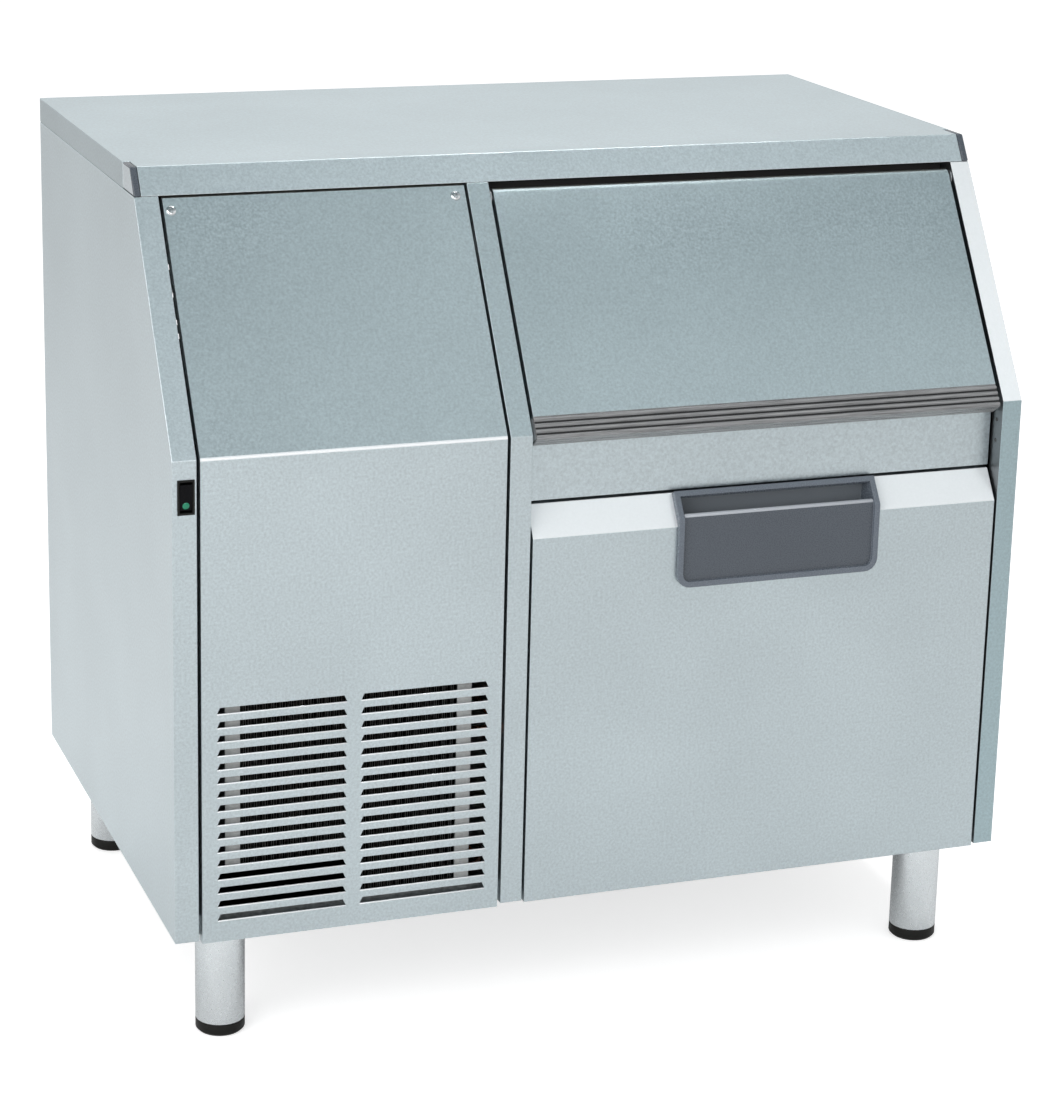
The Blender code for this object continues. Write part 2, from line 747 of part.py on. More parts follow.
def make_legs():
    """Four tube legs, each with a plug foot that screws out of it."""
    side = SIDE_X - LEG_SIDE_INSET
    back = CABINET_DEPTH - LEG_BACK_INSET
    radius = LEG_DIAMETER / 2
    bore = radius - LEG_WALL
    leg_top, leg_low = DRAWER_LOW_Z - GAP, FOOT_HEIGHT + GAP
    plug = bore - GAP
    leg_profile = [
        (0, BASE_Z - GAP),
        (LEG_BOSS_RADIUS, BASE_Z - GAP),
        (LEG_BOSS_RADIUS, leg_top),
        (radius, leg_top),
        (radius, leg_low),
        (bore, leg_low),
        (bore, leg_top - LEG_HEAD),
        (0, leg_top - LEG_HEAD),
    ]
    foot_profile = [
        (0, FOOT_HEIGHT + FOOT_PLUG),
        (plug, FOOT_HEIGHT + FOOT_PLUG),
        (plug, FOOT_HEIGHT),
        (radius, FOOT_HEIGHT),
        (radius, FOOT_EDGE),
        (radius - FOOT_EDGE, 0),
        (0, 0),
    ]
    for end, depth in (("front", LEG_FRONT_INSET), ("rear", back)):
        for hand, x in (("left", -side), ("right", side)):
            turned(f"leg_{end}_{hand}", leg_profile, (x, depth, 0), "satin_steel")
            slide = pivot(f"foot_{end}_{hand}_slide", (x, depth, 0))
            turned(f"foot_{end}_{hand}", foot_profile, (x, depth, 0), "black_plastic", slide)


def make_worktop():
    """The folded worktop, the board inside it and the plastic caps of its front corners."""
    back = CABINET_DEPTH
    low, high = WORKTOP_LOW_Z, WORKTOP_TOP_Z

    def side_outline(inset, bottom, top, front=0.0):
        return [
            (face_depth(bottom, front + inset), bottom),
            (face_depth(top, front + inset), top),
            (back - inset, top),
            (back - inset, bottom),
        ]

    top = prism("worktop", side_outline(0, low, high), -SIDE_X, SIDE_X, "X", "satin_steel")
    inside = side_outline(SHEET, low - OVERRUN, high - SHEET)
    cut(top, prism("worktop_inside", inside, -SIDE_X + SHEET, SIDE_X - SHEET, "X", "satin_steel"))
    core = prism(
        "worktop_board",
        side_outline(SHEET + GAP, low, high - SHEET - GAP),
        -SIDE_X + SHEET + GAP,
        SIDE_X - SHEET - GAP,
        "X",
        "board",
    )

    def cap_outline(proud, reach, spare):
        cap_back = face_depth(high, 0) + CAP_SIDE_LENGTH + reach
        return [
            (face_depth(low - spare, -proud), low - spare),
            (face_depth(high + spare, -proud), high + spare),
            (cap_back, high + spare),
            (cap_back, low - spare),
        ]

    for hand, outer, inner in (("left", -SIDE_X, 1), ("right", SIDE_X, -1)):
        edge = outer + inner * CAP_FRONT_WIDTH
        cap = prism(
            f"nose_cap_{hand}", cap_outline(CAP_PROUD, 0, 0), min(outer, edge), max(outer, edge), "X", "slate_plastic"
        )
        rounding = cap.modifiers.new("rounded edges", "BEVEL")
        rounding.width = CAP_ROUNDING
        rounding.segments = 2
        edge += inner * GAP
        start = outer - inner * OVERRUN
        for piece in (top, core):
            tool = prism(
                f"{piece.name}_{hand}_notch",
                cap_outline(OVERRUN, GAP, OVERRUN),
                min(start, edge),
                max(start, edge),
                "X",
                "satin_steel",
            )
            cut(piece, tool)


def louvre_outline(left, right, low):
    """One pressed slot seen from the front, wider at its lower edge."""
    top = low + LOUVRE_HEIGHT
    return [(left, low), (right, low), (right - LOUVRE_TAPER, top), (left + LOUVRE_TAPER, top)]


def make_service_panel():
    """The bent service panel with its folded edges, two columns of louvres and two screw holes."""
    outline = front_band(PANEL_LOW_Z, PANEL_TOP_Z, 0, PANEL_RETURN, PANEL_BEND_RADIUS)
    panel = prism("service_panel", outline, PANEL_LEFT_X, PANEL_RIGHT_X, "X", "satin_steel")
    hollow = front_band(
        PANEL_LOW_Z + SHEET, PANEL_TOP_Z - SHEET, SHEET, PANEL_RETURN + OVERRUN, PANEL_BEND_RADIUS
    )
    cut(
        panel,
        prism(
            "panel_hollow", hollow, PANEL_LEFT_X + SHEET, PANEL_RIGHT_X - SHEET, "X", "satin_steel"
        ),
    )
    lows = [LOUVRE_LOW_Z + LOUVRE_PITCH * row for row in range(LOUVRE_ROWS)]
    slots = [louvre_outline(left, right, low) for left, right in LOUVRE_COLUMNS for low in lows]
    cut(panel, prisms("louvre_slots", slots, -OVERRUN, SHEET + OVERRUN, "Y", "satin_steel"))
    flap_back = SHEET + LOUVRE_FLAP
    seat = SHEET / 2
    flaps = []
    for low in lows:
        root = low + LOUVRE_HEIGHT + GAP
        tip = root - LOUVRE_FLAP_DROP
        sheet = LOUVRE_FLAP_SHEET
        flaps.append(
            [(seat, root), (flap_back, tip), (flap_back, tip + sheet), (seat, root + sheet)]
        )
    for number, (left, right) in enumerate(LOUVRE_COLUMNS):
        ends = left + LOUVRE_TAPER, right - LOUVRE_TAPER
        fuse(panel, prisms(f"louvre_flaps_{number}", flaps, *ends, "X", "satin_steel"))
    for hand, x, height in (
        ("left", PANEL_LEFT_X + LEFT_SCREW_INSET, LEFT_SCREW_Z),
        ("right", PANEL_RIGHT_X - RIGHT_SCREW_INSET, RIGHT_SCREW_Z),
    ):
        along = (height - BEND_Z) / math.cos(SLOPE_ANGLE)
        inside = slope_point(along, PANEL_RETURN)
        outside = slope_point(along, -OVERRUN)
        hole = cylinder(
            f"screw_hole_{hand}",
            SCREW_HOLE_RADIUS,
            (x, *outside),
            (x, *inside),
            "satin_steel",
            None,
            SMALL_STEPS,
        )
        cut(panel, hole)


def make_rear_panel():
    """The flat back sheet with its vent slots and the holes of its fittings."""
    side = SIDE_X - SHEET - GAP
    front, back = REAR_PANEL_DEPTH, REAR_PANEL_DEPTH + THIN_SHEET
    panel = box("rear_panel", (-side, front, STAND_Z), (side, back, SHOULDER_Z), "zinc_steel")
    vents = []
    for row in range(VENT_COUNT):
        low = VENT_LOW_Z + VENT_PITCH * row
        left, right = VENT_X - VENT_WIDTH / 2, VENT_X + VENT_WIDTH / 2
        vents.append(
            [(left, low), (right, low), (right, low + VENT_HEIGHT), (left, low + VENT_HEIGHT)]
        )
    cut(panel, prisms("rear_vents", vents, front - OVERRUN, back + OVERRUN, "Y", "zinc_steel"))
    holes = (
        ("valve_hole", VALVE_X, VALVE_Z, VALVE_THREAD_RADIUS),
        ("drain_hole", DRAIN_X, DRAIN_Z, DRAIN_RADIUS),
        ("gland_hole", GLAND_X, GLAND_Z, GLAND_RADIUS),
    )
    for name, x, height, radius in holes:
        start, end = (x, front - OVERRUN, height), (x, back + OVERRUN, height)
        cut(panel, cylinder(name, radius + GAP, start, end, "zinc_steel", None, SMALL_STEPS))


def make_switch():
    """The rocker switch in the left post: its frame and its rocker, which stands at on."""
    half = SWITCH_WIDTH / 2
    left, right = SWITCH_X - half, SWITCH_X + half
    frame = box(
        "switch_frame", (left, -SWITCH_PROUD, SWITCH_LOW_Z), (right, -GAP, SWITCH_TOP_Z), "black_plastic"
    )
    inset = SWITCH_BODY_INSET
    low, high = SWITCH_LOW_Z + inset, SWITCH_TOP_Z - inset
    body = box(
        "switch_body", (left + inset, -SWITCH_PROUD / 2, low), (right - inset, SWITCH_BODY_DEPTH, high), "black_plastic"
    )
    rim = SWITCH_FRAME
    well_low, well_high = SWITCH_LOW_Z + rim, SWITCH_TOP_Z - rim
    floor = SWITCH_BODY_DEPTH - rim
    well = box(
        "switch_well",
        (left + rim, -OVERRUN, well_low),
        (right - rim, floor, well_high),
        "black_plastic",
    )
    cut(fuse(frame, body), well)
    middle = (SWITCH_LOW_Z + SWITCH_TOP_Z) / 2
    axis = pivot("switch_rocker_axis", (SWITCH_X, ROCKER_PIVOT_DEPTH, middle))
    reach = (well_high - well_low) / 2 - ROCKER_CLEARANCE
    outline = [
        (-SWITCH_PROUD - ROCKER_CREST, middle + reach),
        (-SWITCH_PROUD, middle),
        (ROCKER_SINK, middle - reach),
        (ROCKER_DEPTH - ROCKER_SINK, middle - reach / 2),
        (ROCKER_DEPTH, middle),
        (ROCKER_DEPTH - ROCKER_SINK, middle + reach / 2),
    ]
    sides = left + rim + GAP, right - rim - GAP
    prism("switch_rocker", outline, *sides, "X", "black_plastic", axis)


def make_bin():
    """The insulated bin, open at the front, and the rail between lid and drawer."""
    low, high = STAND_Z, SHOULDER_Z
    outline = [
        (BIN_FRONT, low),
        (BIN_BACK, low),
        (BIN_BACK, high),
        (face_depth(high, LID_INNER), high),
        (
            BIN_FRONT,
            BEND_Z + (BIN_FRONT - LID_INNER / math.cos(SLOPE_ANGLE)) / math.tan(SLOPE_ANGLE),
        ),
    ]
    body = prism("bin_body", outline, BIN_LEFT_X, BIN_RIGHT_X, "X", "liner_plastic")
    floor, roof, back = low + BIN_FLOOR_LIFT, high - BIN_ROOF, BIN_BACK - BIN_WALL
    cavity = [(-OVERRUN, floor), (back, floor), (back, roof), (-OVERRUN, roof)]
    sides = BIN_LEFT_X + BIN_WALL, BIN_RIGHT_X - BIN_WALL
    cut(body, prism("bin_cavity", cavity, *sides, "X", "liner_plastic"))
    hole = cylinder(
        "bin_drain_hole",
        DRAIN_RADIUS + GAP,
        (DRAIN_X, back - OVERRUN, DRAIN_Z),
        (DRAIN_X, BIN_BACK + OVERRUN, DRAIN_Z),
        "liner_plastic",
        None,
        SMALL_STEPS,
    )
    cut(body, hole, spout_shape("spout_hole", GAP))

    def rail_z(depth):
        return BEND_Z + (depth - LID_INNER / math.cos(SLOPE_ANGLE)) / math.tan(SLOPE_ANGLE)

    front_back = BIN_FRONT - GAP
    front = [
        (RAIL_FRONT, RAIL_LOW_Z),
        (RAIL_FRONT, rail_z(RAIL_FRONT)),
        (front_back, rail_z(front_back)),
        (front_back, RAIL_LOW_Z),
    ]
    rail = prism("front_rail", front, DRAWER_LEFT_X, DRAWER_RIGHT_X, "X", "satin_steel")
    skirt = [
        (RAIL_FRONT + THIN_SHEET, RAIL_LOW_Z),
        (RAIL_FRONT + THIN_SHEET, rail_z(RAIL_FRONT + THIN_SHEET) - GAP),
        (RAIL_BACK, rail_z(RAIL_BACK) - GAP),
        (RAIL_BACK, RAIL_SKIRT_Z),
        (BIN_FRONT, RAIL_SKIRT_Z),
        (BIN_FRONT, RAIL_LOW_Z),
    ]
    fuse(rail, prism("rail_skirt", skirt, sides[0] + GAP, sides[1] - GAP, "X", "satin_steel"))
    wide = [
        (RAIL_FRONT + SHEET, RAIL_LOW_Z - OVERRUN),
        (RAIL_FRONT + SHEET, rail_z(RAIL_FRONT + SHEET) - SHEET),
        (RAIL_BACK - SHEET, rail_z(RAIL_BACK - SHEET) - SHEET),
        (RAIL_BACK - SHEET, RAIL_SKIRT_Z - OVERRUN),
        (BIN_FRONT + SHEET, RAIL_SKIRT_Z - OVERRUN),
        (BIN_FRONT + SHEET, RAIL_LOW_Z - OVERRUN),
    ]
    cut(rail, prism("rail_inside", wide, sides[0] + SHEET, sides[1] - SHEET, "X", "satin_steel"))


def lid_axis():
    """Depth and height of the lid's hinge axis, in the middle of its rounded top edge."""
    half = LID_THICKNESS / 2
    along = (LID_TOP_Z - BEND_Z) / math.cos(SLOPE_ANGLE) - half
    return along, slope_point(along, half)


def lid_outline(along, inset):
    """Side outline of the lid from a place along the slope up to its rounded top edge."""
    centre = lid_axis()[1]
    radius = LID_THICKNESS / 2 - inset
    outer = math.atan2(math.sin(SLOPE_ANGLE), -math.cos(SLOPE_ANGLE))
    arc = arc_points(centre, radius, outer, outer - math.pi, LID_ROUND_STEPS)
    return [slope_point(along, inset)] + arc + [slope_point(along, LID_THICKNESS - inset)]


def make_lid():
    """The flap lid: a steel skin, a liner behind it, a ribbed grip strip and its hinges."""
    top, (axis_depth, axis_z) = lid_axis()
    axis = pivot("lid_axis", (0, axis_depth, axis_z))
    bottom = GRIP_TOP + GAP
    skin = prism(
        "lid_skin", lid_outline(bottom, 0), LID_LEFT_X, LID_RIGHT_X, "X", "satin_steel", axis
    )
    behind = LID_THICKNESS + OVERRUN
    hollow = lid_outline(bottom - OVERRUN, THIN_SHEET)[:-1] + [
        slope_point(top, behind),
        slope_point(bottom - OVERRUN, behind),
    ]
    inner = LID_LEFT_X + THIN_SHEET, LID_RIGHT_X - THIN_SHEET
    cut(skin, prism("lid_hollow", hollow, *inner, "X", "satin_steel", axis))
    for hand, x in (("left", LID_LEFT_X), ("right", LID_RIGHT_X)):
        start = (x - OVERRUN, axis_depth, axis_z)
        end = (x + OVERRUN, axis_depth, axis_z)
        hole = cylinder(
            f"lid_hole_{hand}", HINGE_PIN_RADIUS + GAP, start, end, "satin_steel", axis, SMALL_STEPS
        )
        cut(skin, hole)

    web_top = GRIP_LOW + GRIP_WEB
    step = GRIP_TOP + GAP
    front = THIN_SHEET + GAP
    plate_back = GRIP_PLATE + GAP
    stop = top - LID_LINER_STOP
    liner = [
        slope_point(web_top + GAP, plate_back),
        slope_point(step, plate_back),
        slope_point(step, front),
        slope_point(stop, front),
        slope_point(stop, LID_THICKNESS),
        slope_point(web_top + GAP, LID_THICKNESS),
    ]
    sides = LID_LEFT_X + THIN_SHEET + GAP, LID_RIGHT_X - THIN_SHEET - GAP
    back = prism("lid_liner", liner, *sides, "X", "liner_plastic", axis)
    wall = LID_LINER_SHEET
    pan = [
        slope_point(web_top + wall, plate_back - OVERRUN),
        slope_point(stop - wall, -OVERRUN),
        slope_point(stop - wall, LID_THICKNESS - wall),
        slope_point(web_top + wall, LID_THICKNESS - wall),
    ]
    cut(
        back,
        prism("liner_hollow", pan, sides[0] + wall, sides[1] - wall, "X", "liner_plastic", axis),
    )

    outline = [slope_point(GRIP_LOW, LID_THICKNESS), slope_point(GRIP_LOW, 0)]
    pitch = (GRIP_TOP - GRIP_LOW) / GRIP_RIBS
    groove = pitch * GRIP_GROOVE_SHARE
    for rib in range(GRIP_RIBS):
        low = GRIP_LOW + pitch * rib + groove / 2
        high = GRIP_LOW + pitch * (rib + 1) - groove / 2
        outline += [
            slope_point(low, GRIP_GROOVE_DEPTH - GRIP_PROUD),
            slope_point(low + groove / 2, -GRIP_PROUD),
            slope_point(high - groove / 2, -GRIP_PROUD),
            slope_point(high, GRIP_GROOVE_DEPTH - GRIP_PROUD),
        ]
    outline += [
        slope_point(GRIP_TOP, 0),
        slope_point(GRIP_TOP, GRIP_PLATE),
        slope_point(web_top, GRIP_PLATE),
        slope_point(web_top, LID_THICKNESS),
    ]
    prism("lid_grip", outline, LID_LEFT_X, LID_RIGHT_X, "X", "black_plastic", axis)

    for hand, post, inwards in (
        ("left", CENTRE_POST_RIGHT_X, 1),
        ("right", SIDE_X - RIGHT_POST_WIDTH, -1),
    ):
        near, far = post + inwards * GAP, post + inwards * (GAP + HINGE_SHEET)
        half = HINGE_ARM_WIDTH / 2
        arm_end = (
            axis_depth + HINGE_ARM_LENGTH * math.cos(SLOPE_ANGLE),
            axis_z - HINGE_ARM_LENGTH * math.sin(SLOPE_ANGLE),
        )
        turn = -SLOPE_ANGLE
        ends = arc_points(arm_end, half, turn - math.pi / 2, turn + math.pi / 2) + arc_points(
            (axis_depth, axis_z), half, turn + math.pi / 2, turn + 3 * math.pi / 2
        )
        bracket = prism(f"hinge_{hand}", ends, min(near, far), max(near, far), "X", "zinc_steel")
        pin = cylinder(
            f"hinge_pin_{hand}",
            HINGE_PIN_RADIUS,
            (near, axis_depth, axis_z),
            (near + inwards * HINGE_PIN_LENGTH, axis_depth, axis_z),
            "zinc_steel",
            None,
            SMALL_STEPS,
        )
        fuse(bracket, pin)


def channel(name, web, reach, height, material, parent):
    """A C section runner along the drawer: its web at x web, its flanges reaching to x reach."""
    half = height / 2
    low_x, high_x = min(web, reach), max(web, reach)
    front = BIN_FRONT + GAP
    rail = box(
        name,
        (low_x, front, RUNNER_Z - half),
        (high_x, front + RUNNER_LENGTH, RUNNER_Z + half),
        material,
        parent,
    )
    towards = 1 if reach > web else -1
    start, end = web + towards * RUNNER_SHEET, reach + towards * OVERRUN
    inner = half - RUNNER_SHEET
    hollow = box(
        f"{name}_hollow",
        (min(start, end), front - OVERRUN, RUNNER_Z - inner),
        (max(start, end), front + RUNNER_LENGTH + OVERRUN, RUNNER_Z + inner),
        material,
        parent,
    )
    return cut(rail, hollow)


def make_runners(drawer, middle):
    """The two telescopic runners, of three nested channels each."""
    step = RUNNER_SHEET + RUNNER_NEST
    middle_height = RUNNER_HEIGHT - 2 * step
    inner_height = middle_height - 2 * step
    for hand, wall, inwards in (
        ("left", BIN_LEFT_X + BIN_WALL, 1), ("right", BIN_RIGHT_X - BIN_WALL, -1)
    ):
        outer_web = wall + inwards * GAP
        inner_web = wall + inwards * RUNNER_WIDTH
        middle_web = outer_web + inwards * step
        middle_reach = inner_web - inwards * step
        outer_reach = middle_reach - inwards * step
        inner_reach = middle_web + inwards * step
        channel(f"runner_fixed_{hand}", outer_web, outer_reach, RUNNER_HEIGHT, "zinc_steel", None)
        channel(
            f"runner_middle_{hand}", middle_web, middle_reach, middle_height, "zinc_steel", middle
        )
        channel(f"runner_inner_{hand}", inner_web, inner_reach, inner_height, "zinc_steel", drawer)


def make_drawer():
    """The drawer: its folded front, back plate, gasket, pull, tub and runners."""
    drawer = pivot("drawer_slide", (0, 0, RUNNER_Z))
    middle = pivot("runner_slide", (0, 0, RUNNER_Z))
    low, high, back = DRAWER_LOW_Z, DRAWER_TOP_Z, DRAWER_FRONT_DEPTH
    left, right = DRAWER_LEFT_X, DRAWER_RIGHT_X
    outline = [(0, low), (0, DRAWER_BEVEL_Z), (RAIL_FRONT, high), (back, high), (back, low)]
    front = prism("drawer_front", outline, left, right, "X", "satin_steel", drawer)
    sheet = SHEET
    inside = [
        (sheet, low + sheet),
        (sheet, DRAWER_BEVEL_Z),
        (RAIL_FRONT + sheet / 2, high - sheet),
        (back + OVERRUN, high - sheet),
        (back + OVERRUN, low + sheet),
    ]
    cut(
        front,
        prism("drawer_hollow", inside, left + sheet, right - sheet, "X", "satin_steel", drawer),
    )
    pocket = [
        (-OVERRUN, PULL_POCKET_FLOOR_Z - PULL_WALL - GAP),
        (back - sheet, PULL_POCKET_FLOOR_Z - PULL_WALL - GAP),
        (back - sheet, pull_ceiling_z() + PULL_WALL + GAP),
        (-OVERRUN, pull_ceiling_z() + PULL_WALL + GAP),
    ]
    inner_left, inner_right = PULL_LEFT_X + PULL_RIM, PULL_RIGHT_X - PULL_RIM
    wall = PULL_WALL + GAP
    cut(
        front,
        prism(
            "pull_opening",
            pocket,
            inner_left - wall,
            inner_right + wall,
            "X",
            "satin_steel",
            drawer,
        ),
    )
    make_pull(drawer)

    plate_front = back + GAP
    liner_back = plate_front + DRAWER_LINER
    box(
        "drawer_liner", (left, plate_front, low), (right, liner_back, high), "liner_plastic", drawer
    )

    seal_front, seal_back = liner_back + GAP, BIN_FRONT - GAP
    inset, width = GASKET_INSET, GASKET_WIDTH
    seal = box(
        "drawer_gasket",
        (left + inset, seal_front, low + inset),
        (right - inset, seal_back, high - inset),
        "grey_rubber",
        drawer,
    )
    hole = inset + width
    window = box(
        "gasket_window",
        (left + hole, seal_front - OVERRUN, low + hole + inset),
        (right - hole, seal_back + OVERRUN, high - hole),
        "grey_rubber",
        drawer,
    )
    cut(seal, window)

    tub_left = BIN_LEFT_X + BIN_WALL + RUNNER_WIDTH + GAP
    tub_right = BIN_RIGHT_X - BIN_WALL - RUNNER_WIDTH - GAP
    start, end = TUB_FRONT, TUB_FRONT + TUB_LENGTH

    def tub_plan(offset):
        radius = TUB_CORNER - offset
        near, far = start + offset, end - offset
        west, east = tub_left + offset, tub_right - offset
        quarter = math.pi / 2
        return (
            arc_points((east - radius, far - radius), radius, 0, quarter)
            + arc_points((west + radius, far - radius), radius, quarter, 2 * quarter)
            + arc_points((west + radius, near + radius), radius, 2 * quarter, 3 * quarter)
            + arc_points((east - radius, near + radius), radius, 3 * quarter, 4 * quarter)
        )

    tub = prism("drawer_tub", tub_plan(0), TUB_LOW_Z, TUB_TOP_Z, "Z", "liner_plastic", drawer)
    bottom = TUB_LOW_Z + TUB_WALL
    cut(
        tub,
        prism(
            "tub_inside",
            tub_plan(TUB_WALL),
            bottom,
            TUB_TOP_Z + OVERRUN,
            "Z",
            "liner_plastic",
            drawer,
        ),
    )
    make_runners(drawer, middle)


def pull_ceiling_z():
    """Height of the ceiling of the pull's pocket, level with the lower edge of its top bar."""
    return bevel_point(bevel_length() - PULL_BAR_STOP - PULL_BAR, 0)[1]


def bevel_length():
    """Length of the drawer's bevel."""
    return math.hypot(RAIL_FRONT, DRAWER_TOP_Z - DRAWER_BEVEL_Z)


def bevel_point(along, outwards):
    """Depth and height of a point measured up the drawer's bevel and out of it."""
    length = bevel_length()
    sine, cosine = RAIL_FRONT / length, (DRAWER_TOP_Z - DRAWER_BEVEL_Z) / length
    return (along * sine - outwards * cosine, DRAWER_BEVEL_Z + along * cosine + outwards * sine)


def make_pull(drawer):
    """The moulded pull: a rim round a front plate, whose free upper edge is the lip of a pocket."""
    left, right = PULL_LEFT_X, PULL_RIGHT_X
    proud = PULL_PROUD
    bar_top = bevel_length() - PULL_BAR_STOP
    bar_low = bar_top - PULL_BAR
    ceiling = pull_ceiling_z()
    flange = [
        (-proud, PULL_LOW_Z),
        (-proud, PULL_BEND_Z),
        bevel_point(bar_top, PULL_BEVEL_PROUD),
        bevel_point(bar_top, GAP),
        bevel_point(0, GAP),
        (-GAP, DRAWER_BEVEL_Z),
        (-GAP, PULL_LOW_Z),
    ]
    pull = prism("drawer_pull", flange, left, right, "X", "slate_plastic", drawer)
    round_low = PULL_LOW_Z + PULL_CORNER
    corners = (
        arc_points((left + PULL_CORNER, round_low), PULL_CORNER, math.pi, 3 * math.pi / 2)
        + arc_points((right - PULL_CORNER, round_low), PULL_CORNER, 3 * math.pi / 2, 2 * math.pi)
        + [(right, DRAWER_TOP_Z + 2 * OVERRUN), (left, DRAWER_TOP_Z + 2 * OVERRUN)]
    )
    combine(
        pull,
        prism("pull_face", corners, -2 * OVERRUN, RAIL_BACK, "Y", "slate_plastic", drawer),
        "INTERSECT",
    )
    inner_left, inner_right = left + PULL_RIM, right - PULL_RIM
    wall = PULL_WALL
    floor = PULL_POCKET_FLOOR_Z
    back = PULL_POCKET_DEPTH
    shell = [
        (-proud / 2, floor - wall),
        (back + wall, floor - wall),
        (back + wall, ceiling + wall),
        bevel_point(bar_low, PULL_BEVEL_PROUD / 2),
        bevel_point(0, PULL_BEVEL_PROUD / 2),
    ]
    fuse(
        pull,
        prism(
            "pull_shell", shell, inner_left - wall, inner_right + wall, "X", "slate_plastic", drawer
        ),
    )
    plate = PULL_PLATE_FRONT
    lip = PULL_PLATE / 2
    outer = -proud - OVERRUN
    low = PULL_LOW_Z + PULL_RIM
    hollow = [
        (plate + PULL_PLATE, floor),
        (back, floor),
        (back, ceiling),
        bevel_point(bar_low, 0),
        bevel_point(bar_low, PULL_BEVEL_PROUD + OVERRUN),
        (outer, PULL_LIP_Z + OVERRUN),
        (outer, low),
        (plate, low),
    ] + arc_points((plate + lip, PULL_LIP_Z - lip), lip, math.pi, 0)
    cavity = prism("pull_hollow", hollow, inner_left, inner_right, "X", "slate_plastic", drawer)
    bow = PULL_INNER_CORNER
    window = (
        arc_points((inner_left + bow, low + bow), bow, math.pi, 3 * math.pi / 2)
        + arc_points((inner_right - bow, low + bow), bow, 3 * math.pi / 2, 2 * math.pi)
        + [
            (inner_right + GAP, DRAWER_TOP_Z + 2 * OVERRUN),
            (inner_left - GAP, DRAWER_TOP_Z + 2 * OVERRUN),
        ]
    )
    combine(
        cavity,
        prism("pull_window", window, 2 * outer, RAIL_BACK, "Y", "slate_plastic", drawer),
        "INTERSECT",
    )
    cut(pull, cavity)


def make_condenser():
    """The condenser in its frame: a finned block with its U bends showing at both ends."""
    left, right = COIL_LEFT_X, COIL_RIGHT_X
    front, back = COIL_FRONT, COIL_FRONT + COIL_DEPTH
    root = front + COIL_FIN_DEPTH
    pitch = (right - left) / COIL_FINS
    half = pitch * COIL_FIN_SHARE / 2
    outline = [(left, root), (left, back), (right, back), (right, root)]
    for fin in reversed(range(COIL_FINS)):
        middle = left + pitch * (fin + 0.5)
        outline += [
            (middle + half, root),
            (middle + half, front),
            (middle - half, front),
            (middle - half, root),
        ]
    coil = prism("condenser_coil", outline, COIL_LOW_Z, COIL_TOP_Z, "Z", "fin_aluminium")
    spacing = (COIL_TOP_Z - COIL_LOW_Z) / (2 * BEND_ROWS)
    depth = (root + back) / 2
    for hand, edge, outwards in (("left", left, -1), ("right", right, 1)):
        for row in range(BEND_ROWS):
            low = COIL_LOW_Z + spacing * (2 * row + 0.5)
            high = low + spacing
            inner, outer = edge - outwards * OVERRUN, edge + outwards * BEND_REACH
            corners = [
                (inner, depth, low), (outer, depth, low), (outer, depth, high), (inner, depth, high)
            ]
            bend = tube(f"u_bend_{hand}_{row}", corners, BEND_TUBE_RADIUS, "copper", BEND_REACH)
            fuse(coil, meshed(bend))
    low, high = STAND_Z, COIL_TOP_Z + BASE_SHEET + GAP
    width = COIL_PLATE_WIDTH
    frame = box(
        "condenser_frame", (left - width, front, low), (right + width, back, high), "zinc_steel"
    )
    window = box(
        "condenser_window",
        (left - GAP, front - OVERRUN, COIL_LOW_Z - GAP),
        (right + GAP, back + OVERRUN, COIL_TOP_Z + GAP),
        "zinc_steel",
    )
    sheet = COIL_FRAME_SHEET
    pocket = box(
        "bend_pockets",
        (left - width + sheet, front + sheet, COIL_LOW_Z - GAP),
        (right + width - sheet, back + OVERRUN, COIL_TOP_Z + GAP),
        "zinc_steel",
    )
    cut(frame, window, pocket)


